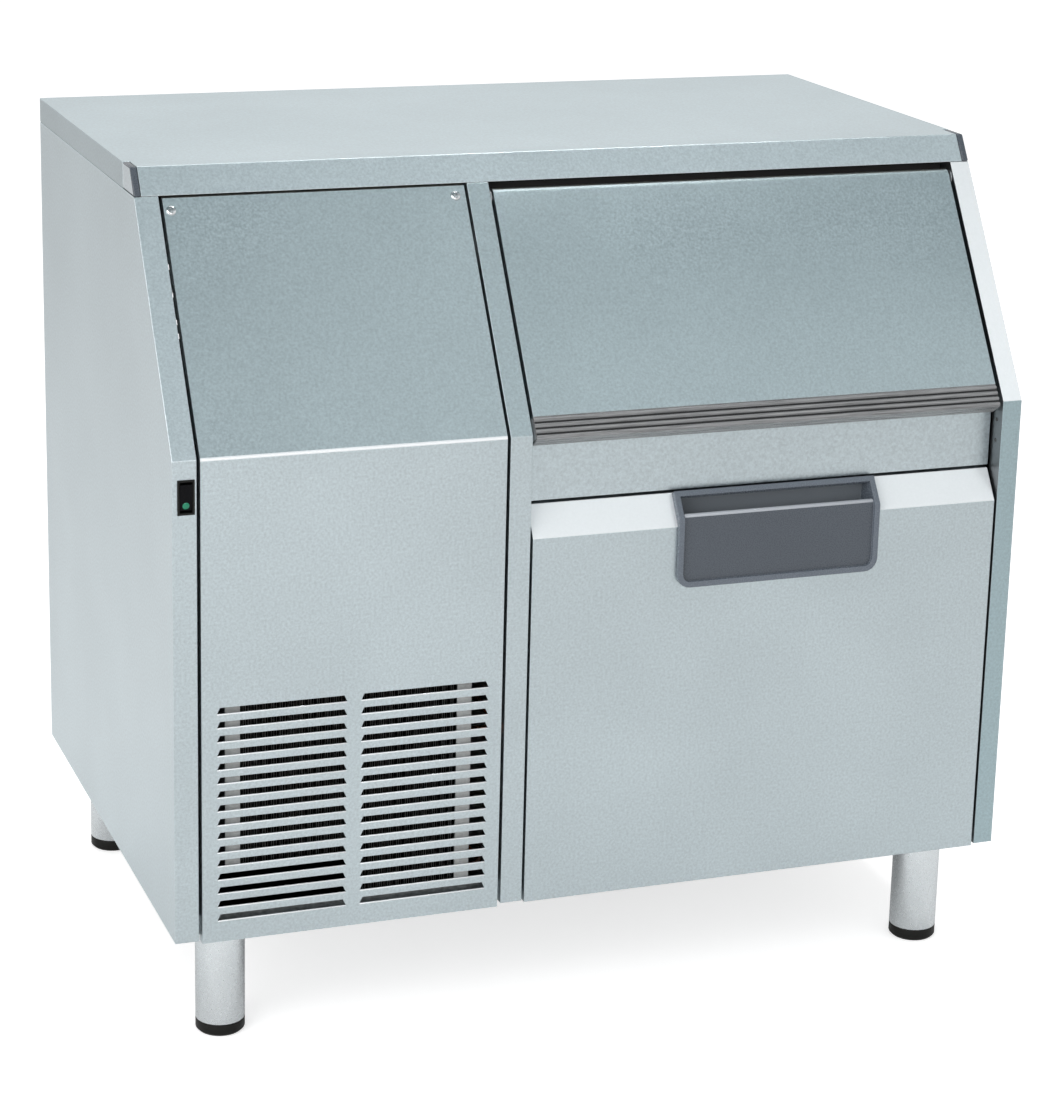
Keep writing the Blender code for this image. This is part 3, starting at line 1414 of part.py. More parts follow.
def make_fan():
    """The fan behind the condenser: its ring and plate, its blades and its motor."""
    x, height = (COIL_LEFT_X + COIL_RIGHT_X) / 2, (COIL_LOW_Z + COIL_TOP_Z) / 2
    front = COIL_FRONT + COIL_DEPTH + GAP
    ring_back = front + SHROUD_RING_DEPTH
    hole = FAN_RADIUS + FAN_TIP_GAP
    width = COIL_PLATE_WIDTH
    plate = box(
        "fan_shroud",
        (COIL_LEFT_X - width, front, STAND_Z),
        (COIL_RIGHT_X + width, front + SHROUD_SHEET, COIL_TOP_Z),
        "black_plastic",
    )
    ring = cylinder(
        "fan_ring",
        hole + SHROUD_RING_WALL,
        (x, front + SHROUD_SHEET / 2, height),
        (x, ring_back, height),
        "black_plastic",
    )
    bore = cylinder(
        "fan_opening", hole, (x, front - OVERRUN, height), (x, ring_back + OVERRUN, height), "black_plastic"
    )
    cut(fuse(plate, ring), bore)

    axis = pivot("fan_axis", (x, 0, height))
    hub_front = front + FAN_FRONT_GAP
    hub_back = hub_front + FAN_HUB_DEPTH
    fan = cylinder(
        "fan_blade",
        FAN_HUB_RADIUS,
        (x, hub_front, height),
        (x, hub_back, height),
        "black_plastic",
        axis,
    )
    chord = FAN_CHORD / 2
    root = FAN_HUB_RADIUS - FAN_BLADE_SHEET
    tip = math.asin(chord / FAN_RADIUS)
    outline = (
        [(root, -chord * FAN_ROOT_SHARE)]
        + arc_points((0, 0), FAN_RADIUS, -tip, tip)
        + [(root, chord * FAN_ROOT_SHARE)]
    )
    for blade in range(FAN_BLADES):
        half = FAN_BLADE_SHEET / 2
        wing = prism(f"blade_{blade}", outline, -half, half, "Y", "black_plastic", None)
        wing.parent = axis
        wing.location = (0, (hub_front + hub_back) / 2, 0)
        turn = Matrix.Rotation(2 * math.pi * blade / FAN_BLADES, 4, "Y")
        wing.rotation_euler = (turn @ Matrix.Rotation(FAN_BLADE_ANGLE, 4, "X")).to_euler()
        fuse(fan, wing)
    shaft_hole = cylinder(
        "fan_bore",
        MOTOR_SHAFT_RADIUS + FAN_BORE_CLEARANCE,
        (x, hub_front - OVERRUN, height),
        (x, hub_back + OVERRUN, height),
        "black_plastic",
        axis,
        SMALL_STEPS,
    )
    cut(fan, shaft_hole)

    motor_front = hub_back + MOTOR_GAP
    motor = turned(
        "fan_motor",
        [
            (0, 0),
            (MOTOR_RADIUS - MOTOR_GAP, 0),
            (MOTOR_RADIUS, -MOTOR_GAP),
            (MOTOR_RADIUS, -MOTOR_DEPTH + MOTOR_GAP),
            (MOTOR_RADIUS - MOTOR_GAP, -MOTOR_DEPTH),
            (0, -MOTOR_DEPTH),
        ],
        (x, motor_front, height),
        "grey_metal",
        None,
        ROUND_STEPS,
        (0, -1, 0),
    )
    shaft_end = hub_front + FAN_HUB_DEPTH / 2
    shaft = cylinder(
        "motor_shaft",
        MOTOR_SHAFT_RADIUS,
        (x, shaft_end, height),
        (x, motor_front + MOTOR_GAP, height),
        "grey_metal",
        None,
        SMALL_STEPS,
    )
    reach = hole + SHROUD_RING_WALL
    arm_front, half = ring_back + GAP, MOTOR_ARM_WIDTH / 2
    arm_back = arm_front + MOTOR_ARM_DEPTH
    across = box(
        "motor_arm_across",
        (x - reach, arm_front, height - half),
        (x + reach, arm_back, height + half),
        "grey_metal",
    )
    upright = box(
        "motor_arm_upright",
        (x - half, arm_front, height - reach),
        (x + half, arm_back, height + reach),
        "grey_metal",
    )
    fuse(motor, shaft, across, upright)


def make_ice_maker():
    """The gear motor, the freezing cylinder on it, the auger inside it and its ice head."""
    centre = (ICE_X, ICE_DEPTH, 0)
    socket = AUGER_CORE_RADIUS + GAP
    top, rounding = GEAR_TOP_Z, GEAR_ROUNDING
    turned(
        "gear_motor",
        [
            (0, top - SOCKET_DEPTH),
            (socket, top - SOCKET_DEPTH),
            (socket, top),
            (GEAR_CASE_RADIUS - rounding, top),
            (GEAR_CASE_RADIUS, top - rounding),
            (GEAR_CASE_RADIUS, GEAR_CASE_LOW_Z),
            (GEAR_MOTOR_RADIUS, GEAR_CASE_LOW_Z - rounding),
            (GEAR_MOTOR_RADIUS, STAND_Z + GEAR_FOOT_HEIGHT),
            (GEAR_FOOT_RADIUS, STAND_Z + GEAR_FOOT_HEIGHT),
            (GEAR_FOOT_RADIUS, STAND_Z),
            (0, STAND_Z),
        ],
        centre,
        "grey_metal",
    )
    low = top + GAP
    turned(
        "freezing_cylinder",
        [
            (BORE_RADIUS, CYLINDER_TOP_Z),
            (CYLINDER_FLANGE_RADIUS, CYLINDER_TOP_Z),
            (CYLINDER_FLANGE_RADIUS, CYLINDER_TOP_Z - CYLINDER_FLANGE),
            (CYLINDER_RADIUS, CYLINDER_TOP_Z - CYLINDER_FLANGE),
            (CYLINDER_RADIUS, low + CYLINDER_FLANGE),
            (CYLINDER_FLANGE_RADIUS, low + CYLINDER_FLANGE),
            (CYLINDER_FLANGE_RADIUS, low),
            (BORE_RADIUS, low),
        ],
        centre,
        "foam_jacket",
    )
    axis = pivot("auger_axis", centre)
    start = top - SOCKET_DEPTH + GAP
    auger = cylinder(
        "auger", AUGER_CORE_RADIUS, (ICE_X, ICE_DEPTH, start), (ICE_X, ICE_DEPTH, AUGER_TOP_Z), "bright_steel", axis
    )
    breaker_top = AUGER_TOP_Z - GEAR_ROUNDING
    breaker = cylinder(
        "ice_breaker",
        BREAKER_RADIUS,
        (ICE_X, ICE_DEPTH, breaker_top - BREAKER_HEIGHT),
        (ICE_X, ICE_DEPTH, breaker_top),
        "bright_steel",
        axis,
        SMALL_STEPS // 2,
    )
    fuse(auger, auger_flight(axis), breaker)

    head_low = CYLINDER_TOP_Z + GAP
    inner = HEAD_RADIUS - HEAD_WALL
    head = turned(
        "ice_spout",
        [
            (0, HEAD_TOP_Z),
            (HEAD_RADIUS, HEAD_TOP_Z),
            (HEAD_RADIUS, head_low),
            (0, head_low),
        ],
        centre,
        "white_plastic",
    )
    fuse(head, spout_shape("spout_duct", 0))
    clear = cylinder(
        "head_inside",
        inner,
        (ICE_X, ICE_DEPTH, head_low - OVERRUN),
        (ICE_X, ICE_DEPTH, HEAD_TOP_Z - HEAD_WALL),
        "white_plastic",
    )
    cut(head, spout_shape("spout_inside", -SPOUT_WALL), clear)


def auger_flight(axis):
    """The auger's helical flight: a bar carried round the shaft and up, with its ends closed."""
    inner, outer = AUGER_CORE_RADIUS - AUGER_FLIGHT_SHEET / 2, BORE_RADIUS - AUGER_CLEARANCE
    corners = [
        (inner, 0, 0), (inner, 0, AUGER_FLIGHT_SHEET), (outer, 0, AUGER_FLIGHT_SHEET), (outer, 0, 0)
    ]
    mesh = bpy.data.meshes.new("flight_section")
    mesh.from_pydata(corners, [(0, 1), (1, 2), (2, 3), (3, 0)], [])
    guide = place("flight_guide", mesh, "bright_steel")
    spin = guide.modifiers.new("helix", "SCREW")
    spin.axis = "Z"
    spin.screw_offset = AUGER_PITCH
    spin.iterations = AUGER_TURNS
    spin.steps = AUGER_STEPS
    spin.render_steps = AUGER_STEPS
    bpy.context.view_layer.update()
    wound = bpy.data.meshes.new_from_object(
        guide.evaluated_get(bpy.context.evaluated_depsgraph_get())
    )
    bpy.data.objects.remove(guide)
    shape = bmesh.new()
    shape.from_mesh(wound)
    bmesh.ops.remove_doubles(shape, verts=shape.verts, dist=GAP / 30)
    bmesh.ops.holes_fill(shape, edges=shape.edges, sides=len(corners))
    bmesh.ops.recalc_face_normals(shape, faces=shape.faces)
    shape.to_mesh(wound)
    shape.free()
    return place("auger_flight", wound, "bright_steel", axis, (0, 0, AUGER_FLIGHT_LOW_Z))


def spout_shape(name, spare):
    """The sloping spout from the ice head into the bin, made larger by spare on each side."""
    start, bend = ICE_X, ICE_X + HEAD_RADIUS + SPOUT_WALL
    end = BIN_LEFT_X + BIN_WALL + SPOUT_REACH
    if spare:
        end += OVERRUN
    high, low = SPOUT_HIGH_Z + spare, SPOUT_HIGH_Z - SPOUT_HEIGHT - spare
    drop = SPOUT_DROP * (end - bend) / (BIN_LEFT_X + BIN_WALL + SPOUT_REACH - bend)
    outline = [
        (start, low),
        (bend, low),
        (end, low - drop),
        (end, high - drop),
        (bend, high),
        (start, high),
    ]
    half = SPOUT_WIDTH / 2 + spare
    return prism(name, outline, ICE_DEPTH - half, ICE_DEPTH + half, "Y", "white_plastic")


def make_water():
    """The float reservoir, its hoses, the inlet valve, the drain and the cable's gland."""
    left = -SIDE_X + SHEET + GAP
    right = left + RESERVOIR_WIDTH
    middle_x, middle = (left + right) / 2, (RESERVOIR_FRONT + RESERVOIR_BACK) / 2
    low, high, wall = RESERVOIR_LOW_Z, RESERVOIR_TOP_Z, RESERVOIR_WALL
    tank = box(
        "water_reservoir",
        (left, RESERVOIR_FRONT, low),
        (right, RESERVOIR_BACK, high),
        "white_plastic",
    )
    inside = box(
        "reservoir_inside",
        (left + wall, RESERVOIR_FRONT + wall, low + wall),
        (right - wall, RESERVOIR_BACK - wall, high + OVERRUN),
        "white_plastic",
    )
    tap = cylinder(
        "reservoir_tap",
        RESERVOIR_TAP_RADIUS,
        (middle_x, middle, low - RESERVOIR_TAP_LENGTH),
        (middle_x, middle, low + wall / 2),
        "white_plastic",
        None,
        SMALL_STEPS,
    )
    fuse(cut(tank, inside), tap)

    pivot_depth = RESERVOIR_BACK - wall - FLOAT_PIVOT_INSET
    pivot_z = high - FLOAT_PIVOT_DROP
    axis = pivot("float_axis", (middle_x, pivot_depth, pivot_z))
    float_top = pivot_z - FLOAT_DROP
    float_front = RESERVOIR_FRONT + 4 * wall
    float_back = float_front + FLOAT_LENGTH
    half = FLOAT_WIDTH / 2
    body = box(
        "float_arm",
        (middle_x - half, float_front, float_top - FLOAT_HEIGHT),
        (middle_x + half, float_back, float_top),
        "white_plastic",
        axis,
    )
    thick = FLOAT_ARM
    arm_outline = [
        (pivot_depth, pivot_z + thick / 2),
        (pivot_depth, pivot_z - thick / 2),
        (float_back, float_top - thick),
        (float_front + FLOAT_LENGTH / 2, float_top - thick),
        (float_back - thick, float_top + thick),
    ]
    arm = prism(
        "float_lever", arm_outline, middle_x - thick, middle_x + thick, "X", "white_plastic", axis
    )
    pin = cylinder(
        "float_pin",
        FLOAT_PIVOT_RADIUS,
        (left + wall + GAP, pivot_depth, pivot_z),
        (right - wall - GAP, pivot_depth, pivot_z),
        "white_plastic",
        axis,
        SMALL_STEPS,
    )
    fuse(body, arm, pin)

    panel_back = REAR_PANEL_DEPTH + THIN_SHEET
    valve = turned(
        "inlet_valve",
        [
            (0, VALVE_REACH),
            (VALVE_THREAD_RADIUS, VALVE_REACH),
            (VALVE_THREAD_RADIUS, -THIN_SHEET - GAP),
            (VALVE_THREAD_RADIUS + VALVE_BODY_RADIUS / 2, -THIN_SHEET - GAP),
            (VALVE_THREAD_RADIUS + VALVE_BODY_RADIUS / 2, -THIN_SHEET - GAP - DRAIN_FLANGE),
            (VALVE_BODY_RADIUS, -THIN_SHEET - GAP - DRAIN_FLANGE),
            (VALVE_BODY_RADIUS, -VALVE_BODY_DEPTH),
            (0, -VALVE_BODY_DEPTH),
        ],
        (VALVE_X, panel_back, VALVE_Z),
        "white_plastic",
        None,
        SMALL_STEPS,
        (0, 1, 0),
    )
    side = VALVE_COIL / 2
    coil_back = REAR_PANEL_DEPTH - DRAIN_FLANGE - 2 * GAP
    coil = box(
        "valve_coil",
        (VALVE_X - side, coil_back - VALVE_COIL, VALVE_Z),
        (VALVE_X + side, coil_back, VALVE_Z + VALVE_COIL + VALVE_BODY_RADIUS),
        "white_plastic",
    )
    fuse(valve, coil)

    inner = DRAIN_RADIUS - DRAIN_WALL
    start = BIN_BACK - BIN_WALL - panel_back
    out = CABINET_DEPTH - panel_back - VALVE_BODY_RADIUS / 2
    turned(
        "drain_pipe",
        [
            (inner, out),
            (DRAIN_RADIUS, out),
            (DRAIN_RADIUS, GAP + DRAIN_FLANGE),
            (DRAIN_FLANGE_RADIUS, GAP + DRAIN_FLANGE),
            (DRAIN_FLANGE_RADIUS, GAP),
            (DRAIN_RADIUS, GAP),
            (DRAIN_RADIUS, start),
            (inner, start),
        ],
        (DRAIN_X, panel_back, DRAIN_Z),
        "white_plastic",
        None,
        SMALL_STEPS,
        (0, 1, 0),
    )
    turned(
        "cable_gland",
        [
            (GLAND_BORE_RADIUS, GLAND_REACH),
            (GLAND_RADIUS, GLAND_REACH),
            (GLAND_RADIUS, GAP + GLAND_NUT),
            (GLAND_NUT_RADIUS, GAP + GLAND_NUT),
            (GLAND_NUT_RADIUS, GAP),
            (GLAND_RADIUS, GAP),
            (GLAND_RADIUS, -GLAND_REACH),
            (GLAND_BORE_RADIUS, -GLAND_REACH),
        ],
        (GLAND_X, panel_back, GLAND_Z),
        "black_plastic",
        None,
        SMALL_STEPS,
        (0, 1, 0),
    )
    feed_z = GEAR_TOP_Z + HEAD_RADIUS
    tube(
        "water_hose",
        [
            (middle_x, middle, low - RESERVOIR_TAP_LENGTH - GAP),
            (middle_x, middle, feed_z),
            (ICE_X - CYLINDER_RADIUS - GAP, middle, feed_z),
        ],
        HOSE_RADIUS,
        "white_plastic",
    )
    valve_front = panel_back - VALVE_BODY_DEPTH - GAP
    run = valve_front - VALVE_BODY_DEPTH * 2
    over = high + VALVE_BODY_DEPTH
    tube(
        "fill_hose",
        [
            (VALVE_X, valve_front, VALVE_Z),
            (VALVE_X, run, VALVE_Z),
            (VALVE_X, run, over),
            (VALVE_X, middle, over),
            (middle_x, middle, over),
            (middle_x, middle, high + HOSE_RADIUS),
        ],
        HOSE_RADIUS,
        "white_plastic",
    )


def make_refrigeration():
    """The compressor with its cover, the drier, the copper lines and the electrical box."""
    x, depth = COMPRESSOR_X, COMPRESSOR_DEPTH
    low = STAND_Z + COMPRESSOR_LIFT
    high = low + COMPRESSOR_HEIGHT
    radius, dome = COMPRESSOR_RADIUS, COMPRESSOR_DOME
    inner = radius - COMPRESSOR_WALL
    crown = arc_points((radius - dome, high - dome), dome, math.pi / 2, 0)
    shell = turned(
        "compressor",
        [(0, high)] + crown + [(radius, low), (0, low)],
        (x, depth, 0),
        "black_paint",
    )
    half = COMPRESSOR_PLATE_SIDE / 2
    side = radius - GROMMET_INSET / 2
    plate = box(
        "compressor_plate", (x - half, depth - side, low), (x + half, depth + side, low + COMPRESSOR_PLATE), "black_paint"
    )
    fuse(shell, plate)
    for across in (-1, 1):
        for along in (-1, 1):
            foot_x = x + across * (half - GROMMET_INSET)
            foot_y = depth + along * (side - GROMMET_INSET)
            start, end = (foot_x, foot_y, STAND_Z), (foot_x, foot_y, low + COMPRESSOR_PLATE / 2)
            foot = cylinder(
                f"grommet_{across}_{along}",
                GROMMET_RADIUS,
                start,
                end,
                "black_paint",
                None,
                SMALL_STEPS,
            )
            fuse(shell, foot)
    cut(
        shell,
        cylinder(
            "shell_inside", inner, (x, depth, low - OVERRUN), (x, depth, high - dome), "black_paint"
        ),
    )
    middle = low + COMPRESSOR_HEIGHT / 2
    front = depth - radius
    cover = box(
        "terminal_cover",
        (x - TERMINAL_WIDTH / 2, front - TERMINAL_DEPTH, middle - TERMINAL_HEIGHT / 2),
        (x + TERMINAL_WIDTH / 2, front + dome, middle + TERMINAL_HEIGHT / 2),
        "black_plastic",
    )
    start, end = (x, depth, low), (x, depth, high + OVERRUN)
    cut(cover, cylinder("terminal_seat", radius + GAP, start, end, "black_plastic"))

    plate_x = COIL_RIGHT_X + COIL_PLATE_WIDTH + GAP
    coil_depth = COIL_FRONT + COIL_DEPTH / 2
    lane_x = BIN_LEFT_X - DRIER_RADIUS
    drier_x = lane_x - DRIER_RADIUS - 2 * COPPER_RADIUS
    drier_depth = (coil_depth + ICE_DEPTH - GEAR_FOOT_RADIUS) / 2
    drier_low = COIL_LOW_Z + TERMINAL_WIDTH
    drier_high = drier_low + DRIER_LENGTH
    neck = COPPER_RADIUS + THIN_SHEET
    drier = turned(
        "liquid_line",
        [
            (0, drier_high + DRIER_NECK),
            (neck, drier_high + DRIER_NECK),
            (neck, drier_high),
            (DRIER_RADIUS, drier_high - DRIER_NECK / 2),
            (DRIER_RADIUS, drier_low + DRIER_NECK / 2),
            (neck, drier_low),
            (neck, drier_low - DRIER_NECK),
            (0, drier_low - DRIER_NECK),
        ],
        (drier_x, drier_depth, 0),
        "copper",
        None,
        SMALL_STEPS,
    )
    liquid_z = COIL_LOW_Z + DRIER_NECK
    feed = tube(
        "condenser_to_drier",
        [
            (plate_x, coil_depth, liquid_z),
            (drier_x, coil_depth, liquid_z),
            (drier_x, drier_depth, liquid_z),
            (drier_x, drier_depth, drier_low),
        ],
        COPPER_RADIUS,
        "copper",
    )
    entry_z = drier_high + TERMINAL_HEIGHT
    outlet = tube(
        "drier_to_cylinder",
        [
            (drier_x, drier_depth, drier_high),
            (drier_x, drier_depth, entry_z),
            (ICE_X, drier_depth, entry_z),
            (ICE_X, ICE_DEPTH - CYLINDER_RADIUS - GAP, entry_z),
        ],
        COPPER_RADIUS,
        "copper",
    )
    fuse(drier, meshed(feed), meshed(outlet))
    hot_z = GEAR_TOP_Z
    tube(
        "discharge_line",
        [
            (x + radius + GAP, depth, hot_z - dome),
            (lane_x, depth, hot_z - dome),
            (lane_x, depth, hot_z),
            (lane_x, coil_depth, hot_z),
            (plate_x, coil_depth, hot_z),
        ],
        COPPER_RADIUS,
        "copper",
    )
    cold_z = CYLINDER_TOP_Z - TERMINAL_WIDTH
    tube(
        "suction_line",
        [
            (ICE_X, ICE_DEPTH + CYLINDER_RADIUS + GAP, cold_z),
            (ICE_X, depth, cold_z),
            (x, depth, cold_z),
            (x, depth, high + GAP),
        ],
        SUCTION_RADIUS,
        "copper",
    )
    left = -SIDE_X + SHEET + GAP
    case = box(
        "electrical_box", (left, BOX_FRONT, BOX_LOW_Z), (left + BOX_WIDTH - BOX_LID, BOX_BACK, BOX_TOP_Z), "grey_metal"
    )
    lid = box(
        "electrical_box_lid",
        (left + BOX_WIDTH - BOX_LID - GAP, BOX_FRONT - BOX_LID, BOX_LOW_Z - BOX_LID),
        (left + BOX_WIDTH, BOX_BACK + BOX_LID, BOX_TOP_Z + BOX_LID),
        "grey_metal",
    )
    hollow = box(
        "electrical_box_inside",
        (left - OVERRUN, BOX_FRONT + THIN_SHEET, BOX_LOW_Z + THIN_SHEET),
        (left + BOX_WIDTH - BOX_LID, BOX_BACK - THIN_SHEET, BOX_TOP_Z - THIN_SHEET),
        "grey_metal",
    )
    cut(fuse(case, lid), hollow)


def collection(name):
    """A new collection in the scene."""
    made = bpy.data.collections.new(name)
    bpy.context.scene.collection.children.link(made)
    return made


for old in list(bpy.data.objects):
    bpy.data.objects.remove(old)
parts = collection("flake_ice_maker")
cutters = collection("cutters")
cabinet = bpy.data.objects.new("cabinet", None)
parts.objects.link(cabinet)
cabinet.location = (0, FRONT_Y, 0)

metal["satin_steel"] = finish("satin_steel", (0.55, 0.60, 0.62), 0.35, 1.0)
metal["bright_steel"] = finish("bright_steel", (0.70, 0.71, 0.72), 0.2, 1.0)
metal["zinc_steel"] = finish("zinc_steel", (0.50, 0.51, 0.52), 0.45, 1.0)
metal["grey_metal"] = finish("grey_metal", (0.40, 0.41, 0.42), 0.4, 0.8)
metal["fin_aluminium"] = finish("fin_aluminium", (0.55, 0.55, 0.56), 0.4, 1.0)
metal["copper"] = finish("copper", (0.60, 0.28, 0.16), 0.3, 1.0)
metal["black_paint"] = finish("black_paint", (0.02, 0.02, 0.02), 0.4)
metal["black_plastic"] = finish("black_plastic", (0.03, 0.03, 0.03), 0.5)
metal["slate_plastic"] = finish("slate_plastic", (0.11, 0.13, 0.15), 0.4)
metal["white_plastic"] = finish("white_plastic", (0.80, 0.80, 0.78), 0.4)
metal["liner_plastic"] = finish("liner_plastic", (0.75, 0.76, 0.76), 0.45)
metal["grey_rubber"] = finish("grey_rubber", (0.25, 0.25, 0.26), 0.7)
metal["foam_jacket"] = finish("foam_jacket", (0.05, 0.05, 0.05), 0.8)
metal["board"] = finish("board", (0.45, 0.33, 0.20), 0.8)

make_side_panels()
make_centre_post()
make_base()
make_legs()
make_worktop()
make_service_panel()
make_rear_panel()
make_switch()
make_bin()
make_lid()
make_drawer()
make_condenser()
make_fan()
make_ice_maker()
make_water()
make_refrigeration()
bpy.context.view_layer.update()
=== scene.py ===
"""Dressed model of the under-counter flake ice maker.

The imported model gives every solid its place. This script gives each of them its finish,
rounds the edges that a press brake or a mould leaves round, and adds the small fittings:
screws, rivets, the louvres' lips, the lip of the pull and the lamp on the switch.
Lengths are in metres; x runs to the right, y to the back and z up.
"""

import json
import logging
import math
from dataclasses import dataclass, field
from enum import Enum
from typing import Dict, List, Optional, Sequence, Tuple

import bmesh
import bpy
import numpy as np
from mathutils import Matrix, Vector

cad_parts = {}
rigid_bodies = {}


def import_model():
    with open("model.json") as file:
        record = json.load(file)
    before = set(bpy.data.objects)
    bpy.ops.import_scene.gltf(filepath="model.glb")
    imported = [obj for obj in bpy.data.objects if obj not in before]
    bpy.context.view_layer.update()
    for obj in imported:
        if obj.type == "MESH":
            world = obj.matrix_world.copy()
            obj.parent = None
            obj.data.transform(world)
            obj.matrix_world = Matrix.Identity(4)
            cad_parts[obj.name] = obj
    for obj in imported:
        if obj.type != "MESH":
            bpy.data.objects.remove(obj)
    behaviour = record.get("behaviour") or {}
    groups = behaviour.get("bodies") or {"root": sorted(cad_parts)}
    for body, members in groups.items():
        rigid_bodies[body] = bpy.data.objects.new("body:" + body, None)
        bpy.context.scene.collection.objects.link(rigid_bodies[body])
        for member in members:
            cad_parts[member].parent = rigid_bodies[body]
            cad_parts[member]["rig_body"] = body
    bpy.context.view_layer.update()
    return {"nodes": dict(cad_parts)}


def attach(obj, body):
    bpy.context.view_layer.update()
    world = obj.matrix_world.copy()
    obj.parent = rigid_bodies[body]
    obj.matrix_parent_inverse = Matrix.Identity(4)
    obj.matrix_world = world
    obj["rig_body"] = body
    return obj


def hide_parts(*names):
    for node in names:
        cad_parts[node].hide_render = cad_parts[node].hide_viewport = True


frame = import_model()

LOG = logging.getLogger("flake_ice_maker")

Triple = Tuple[float, float, float]
FULL_TURN = 2.0 * math.pi


# Finishes


class Grain(Enum):
    """Way a sheet was brushed or a moulding was textured, as noise scales on x, y and z."""

    SATIN = (380.0, 380.0, 380.0)
    ALONG_X = (22.0, 900.0, 900.0)
    ALONG_Z = (900.0, 900.0, 14.0)
    SPECKLE = (900.0, 900.0, 900.0)
    COARSE = (260.0, 260.0, 260.0)
    SPARK = (420.0, 420.0, 420.0)


class NodeSheet:
    """Node tree of one material, with short calls for adding and joining nodes."""

    def __init__(self, name: str) -> None:
        """Makes the material and keeps its shader node.

        Args:
            name: The material's name.
        """
        self.material = bpy.data.materials.new(name)
        self.material.use_nodes = True
        self.tree = self.material.node_tree
        self.shader = self.tree.nodes["Principled BSDF"]

    def add(self, kind: str, **settings: object) -> bpy.types.Node:
        """Adds a node and sets its properties and inputs.

        Args:
            kind: Blender's node type.
            settings: Properties by name, and inputs by name with underscores for spaces.

        Returns:
            The new node.
        """
        node = self.tree.nodes.new(kind)
        for key, value in settings.items():
            if hasattr(node, key):
                setattr(node, key, value)
            else:
                node.inputs[key.replace("_", " ")].default_value = value
        return node

    def join(self, out: bpy.types.NodeSocket, into: bpy.types.NodeSocket) -> None:
        """Links an output to an input."""
        self.tree.links.new(out, into)

    def place(self, scale: Triple, turn: Triple = (0.0, 0.0, 0.0)) -> bpy.types.NodeSocket:
        """Gives the object's own coordinates, scaled on each axis.

        Args:
            scale: Scale on x, y and z.
            turn: Turn of the pattern in radians.

        Returns:
            The vector output that a texture reads.
        """
        coordinates = self.add("ShaderNodeTexCoord")
        mapping = self.add("ShaderNodeMapping", Scale=scale, Rotation=turn)
        self.join(coordinates.outputs["Object"], mapping.inputs["Vector"])
        return mapping.outputs["Vector"]

    def noise(self, scale: Triple, detail: float = 3.0) -> bpy.types.NodeSocket:
        """Gives a noise value from 0 to 1 at a scale on each axis.

        Args:
            scale: Waves per metre on x, y and z.
            detail: How many finer layers the noise has.

        Returns:
            The noise's value output.
        """
        texture = self.add("ShaderNodeTexNoise", Scale=1.0, Detail=detail, Roughness=0.6)
        self.join(self.place(scale), texture.inputs["Vector"])
        return texture.outputs["Fac"]

    def spread(
        self, value: bpy.types.NodeSocket, low: float, high: float, share: float = 0.3
    ) -> bpy.types.NodeSocket:
        """Maps the middle of a noise's span to a span of the builder's own.

        Args:
            value: The noise's output.
            low: Result at the noise's low end.
            high: Result at its high end.
            share: Part of the noise's span left out at each end.

        Returns:
            The mapped value.
        """
        remap = self.add(
            "ShaderNodeMapRange", From_Min=share, From_Max=1.0 - share, To_Min=low, To_Max=high
        )
        self.join(value, remap.inputs["Value"])
        return remap.outputs["Result"]

    def tint(
        self, value: bpy.types.NodeSocket, dark: Sequence[float], light: Sequence[float]
    ) -> bpy.types.NodeSocket:
        """Mixes two colours by a value.

        Args:
            value: Output from 0 to 1.
            dark: Colour at 0.
            light: Colour at 1.

        Returns:
            The colour output.
        """
        mix = self.add("ShaderNodeMix", data_type="RGBA")
        self.join(value, mix.inputs["Factor"])
        for socket, colour in ((6, dark), (7, light)):
            mix.inputs[socket].default_value = (*colour, 1.0)
        return mix.outputs[2]

    def bump(self, value: bpy.types.NodeSocket, depth: float, strength: float = 1.0) -> None:
        """Raises the surface by a value times a depth.

        Args:
            value: Height output.
            depth: Height in metres at a value of 1.
            strength: How much of the effect shows.
        """
        relief = self.add("ShaderNodeBump", Strength=strength, Distance=depth)
        self.join(value, relief.inputs["Height"])
        self.join(relief.outputs["Normal"], self.shader.inputs["Normal"])


